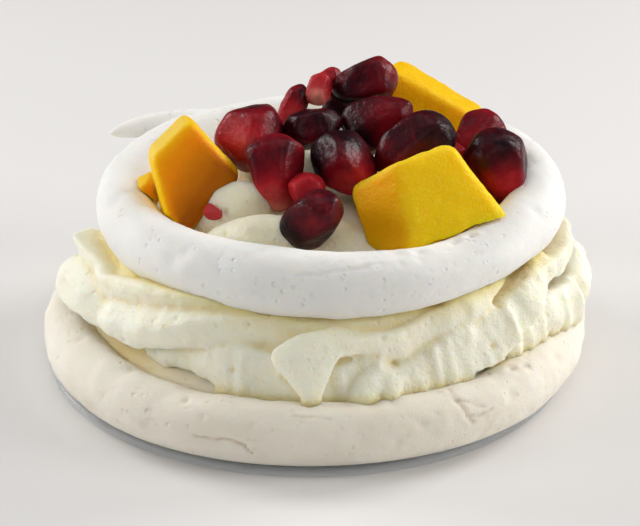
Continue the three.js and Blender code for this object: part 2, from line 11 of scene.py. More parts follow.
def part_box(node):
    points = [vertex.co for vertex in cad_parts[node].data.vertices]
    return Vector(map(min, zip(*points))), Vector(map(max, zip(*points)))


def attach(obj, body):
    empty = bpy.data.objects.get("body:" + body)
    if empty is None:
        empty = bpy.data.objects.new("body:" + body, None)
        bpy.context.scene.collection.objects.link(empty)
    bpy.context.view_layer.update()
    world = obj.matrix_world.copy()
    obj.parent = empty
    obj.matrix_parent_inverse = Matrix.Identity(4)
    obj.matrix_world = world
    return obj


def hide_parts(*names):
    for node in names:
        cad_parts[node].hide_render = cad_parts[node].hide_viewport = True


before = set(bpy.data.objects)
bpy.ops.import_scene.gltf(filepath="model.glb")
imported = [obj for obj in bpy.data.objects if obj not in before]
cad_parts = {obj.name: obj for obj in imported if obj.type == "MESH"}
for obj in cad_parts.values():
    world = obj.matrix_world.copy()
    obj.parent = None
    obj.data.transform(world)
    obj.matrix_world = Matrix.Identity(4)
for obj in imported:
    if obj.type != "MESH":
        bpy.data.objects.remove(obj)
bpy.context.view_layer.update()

MM = 0.001

# ------------------------------------------------------------------ camera, table and light
# The cake stands on a plain pale table in soft light: two banks of light at each side, the right
# ones a little stronger, and weak ones overhead and in front. The camera has a long lens.

camera_reach = 300.8           # from the lens to the middle of the cake, in millimetres
camera_rise = 24.2             # degrees above the table
camera_turn = 0.37             # degrees that the camera is rolled
camera_aim = (1.9, 0.0, 15.4)
rise = math.radians(camera_rise)
lens = bpy.data.cameras.new("camera")
lens.lens = 101.9
lens.sensor_width = 36.0
camera = bpy.data.objects.new("camera", lens)
place = Matrix.Translation((0, -camera_reach * math.cos(rise) * MM,
                            (camera_aim[2] + camera_reach * math.sin(rise)) * MM))
swing = Matrix.Rotation(-math.atan2(camera_aim[0], camera_reach * math.cos(rise)), 4, "Z")
tilt = Matrix.Rotation(math.pi / 2 - rise, 4, "X")
camera.matrix_world = place @ swing @ tilt @ Matrix.Rotation(math.radians(camera_turn), 4, "Z")
bpy.context.scene.collection.objects.link(camera)
bpy.context.scene.camera = camera
bpy.context.scene.view_settings.view_transform = "Standard"

room = bpy.data.worlds.new("room")
room.use_nodes = True
room.node_tree.nodes["Background"].inputs["Color"].default_value = (0.93, 0.95, 1.0, 1)
room.node_tree.nodes["Background"].inputs["Strength"].default_value = 0.03
bpy.context.scene.world = room


def light_bank(name, place, size, watts, tint):
    """A square soft light at a place in metres, facing the cake."""
    bank = bpy.data.lights.new(name, "AREA")
    bank.shape = "SQUARE"
    bank.size = size
    bank.energy = watts
    bank.color = tint
    lamp = bpy.data.objects.new(name, bank)
    facing = Vector(light_aim) - Vector(place)
    lamp.rotation_euler = facing.to_track_quat("-Z", "Y").to_euler()
    lamp.location = place
    bpy.context.scene.collection.objects.link(lamp)


light_aim = (0, 0, 0.02)
# Name, place, size in metres, watts and tint.
light_banks = [
    ("bank_right", (0.55, -0.12, 0.22), 0.26, 1.62, (1.0, 0.98, 0.96)),
    ("bank_right_back", (0.5, 0.28, 0.35), 0.26, 2.3, (1.0, 0.99, 0.97)),
    ("bank_left", (-0.55, -0.12, 0.22), 0.26, 1.2, (1.0, 0.99, 0.98)),
    ("bank_left_back", (-0.5, 0.28, 0.35), 0.26, 2.0, (1.0, 1.0, 0.99)),
    ("bank_overhead", (0, 0.05, 0.65), 0.5, 1.0, (1.0, 1.0, 1.0)),
    ("bank_front", (0, -0.6, 0.45), 0.5, 0.92, (0.97, 1.0, 0.98)),
]
for bank in light_banks:
    light_bank(*bank)

table_half = 2.0               # of its width, in metres
table_points = [(x * table_half, y * table_half, 0) for x, y in ((-1, -1), (1, -1), (1, 1), (-1, 1))]
table_mesh = bpy.data.meshes.new("table")
table_mesh.from_pydata(table_points, [], [(0, 1, 2, 3)])
table = bpy.data.objects.new("table", table_mesh)
bpy.context.scene.collection.objects.link(table)
table_finish = bpy.data.materials.new("table_card")
table_finish.use_nodes = True
card = table_finish.node_tree.nodes["Principled BSDF"]
card.inputs["Base Color"].default_value = (0.80, 0.78, 0.77, 1)
card.inputs["Roughness"].default_value = 0.6
table.data.materials.append(table_finish)

# ------------------------------------------------------------------ disc
# A thin round of clear plastic under the cake, polished all over, with its edge rounded off.
# It is turned here as one closed profile about the upright axis.

disc_low, disc_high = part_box("disc")
disc_radius = (disc_high.x - disc_low.x) / 2 / MM
disc_thickness = (disc_high.z - disc_low.z) / MM
disc_round_steps = 256
disc_edge_steps = 14


def piece_from(name, points, faces, finish):
    """Makes an object of a shape in millimetres, smoothly shaded."""
    mesh = bpy.data.meshes.new(name)
    mesh.from_pydata((np.asarray(points) * MM).tolist(), [], [list(face) for face in faces])
    mesh.polygons.foreach_set("use_smooth", [True] * len(mesh.polygons))
    mesh.materials.append(finish)
    mesh.update()
    piece = bpy.data.objects.new(name, mesh)
    bpy.context.scene.collection.objects.link(piece)
    return piece


def rows_of_faces(rows, steps):
    """Faces that join rows of points round a shape, and its end rows to the two tips after them."""
    faces = []
    for row in range(rows - 1):
        for k in range(steps):
            a, b = row * steps + k, row * steps + (k + 1) % steps
            faces.append((a, b, b + steps, a + steps))
    first_tip, last_row = rows * steps, (rows - 1) * steps
    for k in range(steps):
        faces.append((first_tip, (k + 1) % steps, k))
        faces.append((first_tip + 1, last_row + k, last_row + (k + 1) % steps))
    return faces


def turned(profile, steps):
    """Turns a profile of (radius, height) about the upright axis. Its two ends lie on the axis."""
    profile = np.asarray(profile, float)
    angle = np.arange(steps) * 2 * np.pi / steps
    rows = profile[1:-1]
    x = rows[:, :1] * np.cos(angle)
    y = rows[:, :1] * np.sin(angle)
    z = np.repeat(rows[:, 1:], steps, axis=1)
    points = np.stack([x, y, z], axis=-1).reshape(-1, 3)
    points = np.vstack([points, [0, 0, profile[0, 1]], [0, 0, profile[-1, 1]]])
    return points, rows_of_faces(len(rows), steps)


def finish_named(name, **settings):
    """A new material. The settings go straight on the shader's own sockets."""
    material = bpy.data.materials.new(name)
    material.use_nodes = True
    shader = material.node_tree.nodes["Principled BSDF"]
    for socket, value in settings.items():
        shader.inputs[socket.replace("_", " ")].default_value = value
    return material, shader


node_results = dict(TexCoord="Object", TexNoise="Fac", TexVoronoi="Distance", Attribute="Fac", Mix="Result",
                    MapRange="Result", Mapping="Vector", Math="Value", Bump="Normal")


def mixed_in(material, kind, *ordered, **named):
    """Adds a node to a material and gives its result. Each input is a value or another result.

    The ordered ones are its first inputs. A name with a capital is an input, any other a setting.
    """
    node = material.node_tree.nodes.new("ShaderNode" + kind)
    inputs = dict(enumerate(ordered))
    for name, value in named.items():
        if name.islower():
            setattr(node, name, value)
        else:
            inputs[name.replace("_", " ")] = value
    for socket, value in inputs.items():
        if isinstance(value, bpy.types.NodeSocket):
            material.node_tree.links.new(value, node.inputs[socket])
        else:
            node.inputs[socket].default_value = value
    return node.outputs[node_results[kind]]


disc_edge = disc_thickness / 2
edge_angles = np.linspace(-np.pi / 2, np.pi / 2, disc_edge_steps)
disc_profile = [(0, 0), (disc_radius * 0.5, 0)]
disc_profile += [(disc_radius - disc_edge + disc_edge * math.cos(angle),
                  disc_edge + disc_edge * math.sin(angle)) for angle in edge_angles]
disc_profile += [(disc_radius * 0.5, disc_thickness), (0, disc_thickness)]
clear_plastic, disc_shader = finish_named(
    "clear_plastic", Base_Color=(0.76, 0.83, 0.90, 1), IOR=1.47, Alpha=0.2)
disc = piece_from("clear_disc", *turned(disc_profile, disc_round_steps), clear_plastic)
# Faint rubbing marks in the polish.
marks = mixed_in(clear_plastic, "TexNoise", Scale=60)
rubbed = mixed_in(clear_plastic, "MapRange", Value=marks, To_Min=0.02, To_Max=0.05)
clear_plastic.node_tree.links.new(rubbed, disc_shader.inputs["Roughness"])
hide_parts("disc")
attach(disc, "root")

# ------------------------------------------------------------------ meringue nest
# The base of the cake: a thick flat floor of meringue with a bead piped round it as a rim, baked dry
# and ivory. The bead is flattened on the disc, lumpy, and has small pits and baking cracks.

nest_low, nest_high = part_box("meringue_base")
nest_middle = (nest_low + nest_high) / 2 / MM
nest_radius = (nest_high.x - nest_low.x + nest_high.y - nest_low.y) / 4 / MM
nest_foot = nest_low.z / MM
nest_bead_width = 8.8
nest_bead_height = 9.8
nest_groove_thickness = 7.7    # of the meringue under the groove inside the rim
nest_floor_rise = 1.7          # of the floor over that groove
nest_floor_round = 2.8         # how wide the rounded edge of the floor is
nest_flattening = 0.3
nest_width_waves = [(2, 0.3, 40), (3, 0.25, 100), (5, 0.18, 20)]
nest_height_waves = [(2, 0.25, 120), (5, 0.2, 60), (7, 0.15, 10)]
nest_turn_steps = 600
nest_bead_steps = 92
nest_edge_steps = 12
nest_floor_steps = 18
# Where the painted ochre shade inside the rim is strongest, and how far round it spreads.
cave_shade_azimuth, cave_shade_spread = 214, 18
# Cracks as paths over the bead, each point [azimuth, angle round the bead], with the bead's
# outermost line at 0 and its top at 90; then width and depth in millimetres, and how brown.
nest_cracks = [
    ([(246.8, 5.7), (248.4, 2.6), (250.8, 3.3), (252.8, 8.6), (254.7, 4.8), (256.7, 0.3), (258, -20)],
     0.24, 0.26, 0.55),
    ([(225.3, 36), (224.8, 14), (224.3, -3.7), (225.3, -18)], 0.2, 0.18, 0.45),
    ([(299, 89), (299.1, 70), (299.1, 57), (300, 43), (300.7, 22), (302, 8)], 0.3, 0.3, 0.45),
    ([(299.1, 57), (301.4, 47), (302.6, 38), (304.8, 30)], 0.22, 0.22, 0.35),
    ([(300.7, 22), (303.6, 17), (306.4, 19)], 0.22, 0.2, 0.35),
    ([(316, 78), (318, 72), (320.4, 64)], 0.3, 0.25, 0.2),
    ([(266, 58), (268, 52), (271, 51), (273, 46)], 0.2, 0.16, 0.3),
    ([(40, 30), (46, 24), (52, 27), (57, 12)], 0.3, 0.3, 0.6),
    ([(120, 62), (124, 40), (123, 20)], 0.25, 0.25, 0.4),
    ([(170, 20), (176, 12), (181, 15), (186, 6)], 0.25, 0.25, 0.6),
]
# Dents in the bead: [azimuth, angle round the bead], radius and depth.
nest_dents = [
    ((269, 88), 1.4, 0.45), ((272.9, 80), 1.2, 0.4), ((276.4, 86), 1.6, 0.5), ((281.6, 88), 1.8, 0.55),
    ((286, 80), 1.5, 0.35), ((207.4, 82), 0.9, 0.3), ((243.4, 70), 0.5, 0.5), ((226, 100), 1.0, 0.3),
    ((316.6, 76), 0.7, 0.4), ((320, 63), 0.7, 0.35), ((236.6, 3), 0.7, 0.3), ((267.4, 42), 0.6, 0.3),
    ((290.7, 24), 0.8, 0.3), ((285.7, -3), 0.7, 0.25), ((258, 35), 0.6, 0.25), ((237, 32), 0.6, 0.25),
    ((248, 44), 0.5, 0.3), ((312, 30), 0.9, 0.3), ((330, 40), 1.1, 0.35), ((20, 50), 1.2, 0.4),
    ((75, 60), 1.5, 0.5), ((140, 45), 1.1, 0.4), ((160, 70), 1.3, 0.4), ((95, 20), 0.9, 0.35),
]


def waves(azimuth, terms):
    """Sum of cosine waves round the cake, each (waves per turn, height, azimuth of a crest)."""
    total = np.zeros_like(azimuth, dtype=float)
    for count, height, crest in terms:
        total = total + height * np.cos(np.radians(count * (azimuth - crest)))
    return total


def azimuth_of(points):
    return np.degrees(np.arctan2(points[:, 1], points[:, 0])) % 360


def soft_step(value, low, high):
    share = np.clip((value - low) / (high - low), 0, 1)
    return share * share * (3 - 2 * share)


def lumps(points, size, seed):
    """Soft random unevenness from -1 to 1, its lumps about as wide as size."""
    turn = 0.7 + seed
    spin = np.array([[math.cos(turn), -math.sin(turn), 0], [math.sin(turn), math.cos(turn), 0], [0, 0, 1]])
    lean = np.array([[1, 0, 0], [0, math.cos(turn), -math.sin(turn)], [0, math.sin(turn), math.cos(turn)]])
    where = points @ (spin @ lean) / size + seed * 19.7 + 500
    cell = np.floor(where).astype(np.int64)
    share = where - cell
    share = share ** 3 * (share * (share * 6 - 15) + 10)
    total = np.zeros(len(points))
    # Each corner of a cell gets its own random value, made from its whole numbers with primes.
    for corner in np.ndindex(2, 2, 2):
        mixed = (cell + corner) @ np.array([73856093, 19349663, 83492791])
        mixed = (mixed ^ (mixed >> 13)) * 1274126177 & 0xFFFFFFFF
        mixed = (mixed ^ (mixed >> 15)) * 2246822519 & 0xFFFFFFFF
        value = ((mixed ^ (mixed >> 14)) & 0xFFFF) / 32767.5 - 1
        weight = np.prod(np.where(np.array(corner) == 1, share, 1 - share), axis=1)
        total += value * weight
    return total


def unevenness(points, *layers):
    """Lumps of several sizes on one another. Each layer is (height, size, seed)."""
    return sum(height * lumps(points, size, seed) for height, size, seed in layers)


def normals_of(points, faces):
    """Outward direction at each point of a closed shape."""
    faces = np.asarray(faces)
    across = points[faces[:, 2]] - points[faces[:, 0]]
    along = points[faces[:, -1]] - points[faces[:, 1]]
    facing = np.cross(across, along)
    total = np.zeros_like(points)
    for corner in range(faces.shape[1]):
        for axis in range(3):
            total[:, axis] += np.bincount(faces[:, corner], facing[:, axis], len(points))
    return total / (np.linalg.norm(total, axis=1, keepdims=True) + 1e-12)


def away_from_path(points, path):
    """Distance from each point to a path of straight stretches."""
    nearest = np.full(len(points), 1e9)
    for start, end in zip(path[:-1], path[1:]):
        stretch = end - start
        share = np.clip((points - start) @ stretch / (stretch @ stretch), 0, 1)
        gap = np.linalg.norm(points - start - share[:, None] * stretch, axis=1)
        nearest = np.minimum(nearest, gap)
    return nearest


def dents_in(points, on_bead, dents):
    """How far each point of a bead sinks in its dents."""
    sink = np.zeros(len(points))
    for where, radius, depth in dents:
        gap = np.linalg.norm(points - on_bead(*where), axis=1)
        sink += depth * np.exp(-(gap / radius) ** 2)
    return sink


def cracks_in(points, on_bead, cracks, wander, wander_size, seed):
    """How far each point of a bead sinks in its cracks, which wander a little, and how brown it is."""
    sink, browning = np.zeros(len(points)), np.zeros(len(points))
    astray = [lumps(points, wander_size, seed + axis) for axis in range(3)]
    wandered = points + wander * np.stack(astray, axis=1)
    for path, width, depth, brown in cracks:
        track = np.vstack([on_bead(*where) for where in path])
        groove = np.exp(-(away_from_path(wandered, track) / width) ** 2)
        sink += depth * groove
        browning = np.maximum(browning, brown * groove)
    return sink, browning


def write_tint(piece, name, values):
    """Keeps one number at each point of the piece, for its material to read."""
    piece.data.attributes.new(name, "FLOAT", "POINT").data.foreach_set("value", values.astype(np.float32))


def scattered_pits(points, normals, count, widths, deepness, seed, over=None):
    """Little round pits at random points. Gives how far each point sinks, in millimetres."""
    draw = np.random.default_rng(seed)
    sink = np.zeros(len(points))
    chance = np.ones(len(points)) if over is None else over
    centres = draw.choice(len(points), count, replace=False, p=chance / chance.sum())
    for centre in centres:
        radius = draw.uniform(*widths)
        gap = np.linalg.norm(points - points[centre], axis=1)
        near = gap < 2.2 * radius
        near &= normals @ normals[centre] > 0.2
        bowl = np.exp(-(gap[near] / radius) ** 2 * 1.6)
        sink[near] = np.maximum(sink[near], deepness * radius * bowl)
    return sink


def colour_blend(material, share, *stops):
    """The colour at a share from 0 to 1, blended between stops of (share, colour)."""
    node = material.node_tree.nodes.new("ShaderNodeValToRGB")
    marked = node.color_ramp.elements
    for mark, (place, colour) in zip(marked, (stops[0], stops[-1])):
        mark.position = place
        mark.color = (*colour, 1)
    for place, colour in stops[1:-1]:
        marked.new(place).color = (*colour, 1)
    material.node_tree.links.new(share, node.inputs["Fac"])
    return node.outputs["Color"]


def tinted(material, under, tint, colour):
    """Lays a colour over another, as strongly as the tint that was written on the piece."""
    strength = mixed_in(material, "Attribute", attribute_name=tint)
    return mixed_in(material, "Mix", data_type="RGBA", Factor=strength, A=under, B=(*colour, 1))


def meringue(name, crust, shade, crack_colour, grain):
    """Baked meringue: matt, dry and slightly see-through, with fine grain and pinholes."""
    material, shader = finish_named(
        name, Roughness=0.82, Subsurface_Weight=0.5, Subsurface_Radius=(1.0, 0.75, 0.5),
        Subsurface_Scale=0.0016, Specular_IOR_Level=0.25)
    wires = material.node_tree.links
    where = mixed_in(material, "TexCoord")
    cloud = mixed_in(material, "TexNoise", Vector=where, Scale=110, Detail=4)
    colour = colour_blend(material, cloud, (0.32, shade), (0.62, crust))
    colour = tinted(material, colour, "crack", crack_colour)
    # Painted ochre shade, as strong as the tint written on the piece.
    colour = tinted(material, colour, "painted_cave_shade", (0.88, 0.72, 0.36))
    wires.new(colour, shader.inputs["Base Color"])
    fine = mixed_in(material, "TexNoise", Vector=where, Scale=2600, Detail=3)
    fine_bump = mixed_in(material, "Bump", Height=fine, Strength=grain, Distance=0.0002)
    pinholes = mixed_in(material, "TexVoronoi", Vector=where, Scale=620)
    hole = mixed_in(material, "MapRange", Value=pinholes, From_Min=0.08, From_Max=0.26)
    glow_and_shade_patches = mixed_in(material, "TexNoise", Vector=where, Scale=170)
    pitted = mixed_in(material, "MapRange", Value=glow_and_shade_patches, From_Min=0.5, From_Max=0.62)
    shallow = mixed_in(material, "Mix", Factor=pitted, A=1.0, B=hole)
    pit_bump = mixed_in(material, "Bump", Height=shallow, Strength=0.6, Distance=0.0004, Normal=fine_bump)
    wires.new(pit_bump, shader.inputs["Normal"])
    return material


def nest_profile():
    """Half a section through the nest, from the axis underneath, round the bead, to the axis."""
    half_width, half_height = nest_bead_width / 2, nest_bead_height / 2
    bead_radius = nest_radius - half_width
    bead_middle = nest_foot + half_height - nest_flattening
    groove = nest_foot + nest_groove_thickness
    floor_top = groove + nest_floor_rise
    start = -math.asin((bead_middle - nest_foot) / half_height)
    end = math.pi + math.asin((bead_middle - groove) / half_height)
    angles = np.linspace(start, end, nest_bead_steps)
    bead = [(bead_radius + half_width * math.cos(angle), bead_middle + half_height * math.sin(angle))
            for angle in angles]
    edge = [(bead[-1][0] - nest_floor_round * (1 - math.cos(angle)),
             groove + nest_floor_rise * math.sin(angle))
            for angle in np.linspace(0, math.pi / 2, nest_edge_steps)[1:]]
    under = [(bead[0][0] * share, nest_foot) for share in (0.3, 0.6, 0.85, 0.96)]
    shares = 1 - np.linspace(0, 1, nest_floor_steps + 1)[1:] ** 1.6 * 0.97
    floor = [(edge[-1][0] * share, floor_top) for share in shares]
    return [(0, nest_foot), *under, *bead, *edge, *floor, (0, floor_top)]


def on_nest_bead(azimuth, angle):
    """The point of the bead at an azimuth and an angle round the bead."""
    half_width, half_height = nest_bead_width / 2, nest_bead_height / 2
    radius = nest_radius - half_width + half_width * math.cos(math.radians(angle))
    height = nest_foot + half_height - nest_flattening + half_height * math.sin(math.radians(angle))
    turn = math.radians(azimuth)
    return np.array([radius * math.cos(turn), radius * math.sin(turn), height])


nest_points, nest_faces = turned(nest_profile(), nest_turn_steps)
nest_quads = np.array([face if len(face) == 4 else (*face, face[-1]) for face in nest_faces])
nest_normals = normals_of(nest_points, nest_quads)
nest_reach = np.linalg.norm(nest_points[:, :2], axis=1)
nest_azimuth = azimuth_of(nest_points)
bead_half_width = nest_bead_width / 2
bead_middle_radius = nest_radius - bead_half_width
on_bead = soft_step(nest_reach, bead_middle_radius - bead_half_width, bead_middle_radius - 3)
above_foot = soft_step(nest_points[:, 2], nest_foot + 0.2, nest_foot + 2)
swell = unevenness(nest_points, (0.28, 8, 1), (0.14, 3, 2), (0.06, 1.2, 3))
sink = dents_in(nest_points, on_nest_bead, nest_dents)
inner_edge = np.exp(-((nest_reach - bead_middle_radius + 5) / 2.5) ** 2)
inner_edge *= nest_points[:, 2] > nest_foot + 4
sink += scattered_pits(nest_points, nest_normals, count=420, widths=(0.2, 0.5), deepness=0.4, seed=11,
                       over=0.1 + on_bead + 3 * inner_edge)
crack_sink, nest_browning = cracks_in(nest_points, on_nest_bead, nest_cracks, wander=0.35,
                                      wander_size=1.6, seed=31)
sink += crack_sink
nest_outward = soft_step(nest_reach, bead_middle_radius - bead_half_width,
                         bead_middle_radius + bead_half_width)
nest_upward = soft_step(nest_points[:, 2], nest_foot + 1, nest_foot + nest_bead_height)
stretch = nest_outward * waves(nest_azimuth, nest_width_waves) / np.maximum(nest_reach, 1)
nest_points = nest_points + nest_normals * ((swell - sink) * above_foot)[:, None]
nest_points[:, :2] *= (1 + stretch)[:, None]
nest_points[:, 2] += nest_upward * nest_outward * waves(nest_azimuth, nest_height_waves)
nest_points[:, :2] += np.array([nest_middle.x, nest_middle.y])
# Painted ochre shade on the inside of the rim where the cream lies on it, strongest at the front left under
# the long fold.
nest_cave_shade = soft_step(bead_middle_radius - nest_reach, 1.4, 4) * (nest_points[:, 2] > nest_foot + 5)
nest_cave_shade *= 0.1 + 0.8 * np.exp(-((nest_azimuth - cave_shade_azimuth) / cave_shade_spread) ** 2)
# Brown specks of sugar.
specks = np.maximum(0, lumps(nest_points, 1.1, 5) - 0.83) * 5
nest_crust = meringue("nest_meringue", crust=(0.87, 0.82, 0.72), shade=(0.82, 0.76, 0.65),
                      crack_colour=(0.50, 0.36, 0.20), grain=0.35)
nest = piece_from("meringue_nest", nest_points, nest_faces, nest_crust)
write_tint(nest, "crack", np.clip(nest_browning + 0.5 * specks, 0, 1))
write_tint(nest, "painted_cave_shade", nest_cave_shade)
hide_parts("meringue_base")
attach(nest, "root")

# ------------------------------------------------------------------ whipped cream
# Stiff whipped cream, spooned on in long folds that hang over the nest's rim, with a mound inside
# the ring. It is made as a heap with folds and lobes pushed into it, melted into one skin, then
# ruffled and pitted with air bubbles, and pressed against the nest and the ring.

heap_middle = (1.5, 0.5)
mound_height = 32.0
heap_foot = nest_foot + nest_groove_thickness + nest_floor_rise - 0.2
cream_cell = 0.42              # of the skin that the folds are melted into
fold_steps = 120               # along a fold
heap_turn_steps = 96
lobe_steps, lobe_turn_steps = 40, 32
# Cream this near to a bead, as a share of the bead's half size, is moved to this share inside it.
ring_press_reach, ring_press_seat = 1.06, 0.93
nest_press_reach, nest_press_seat = 1.2, 0.94
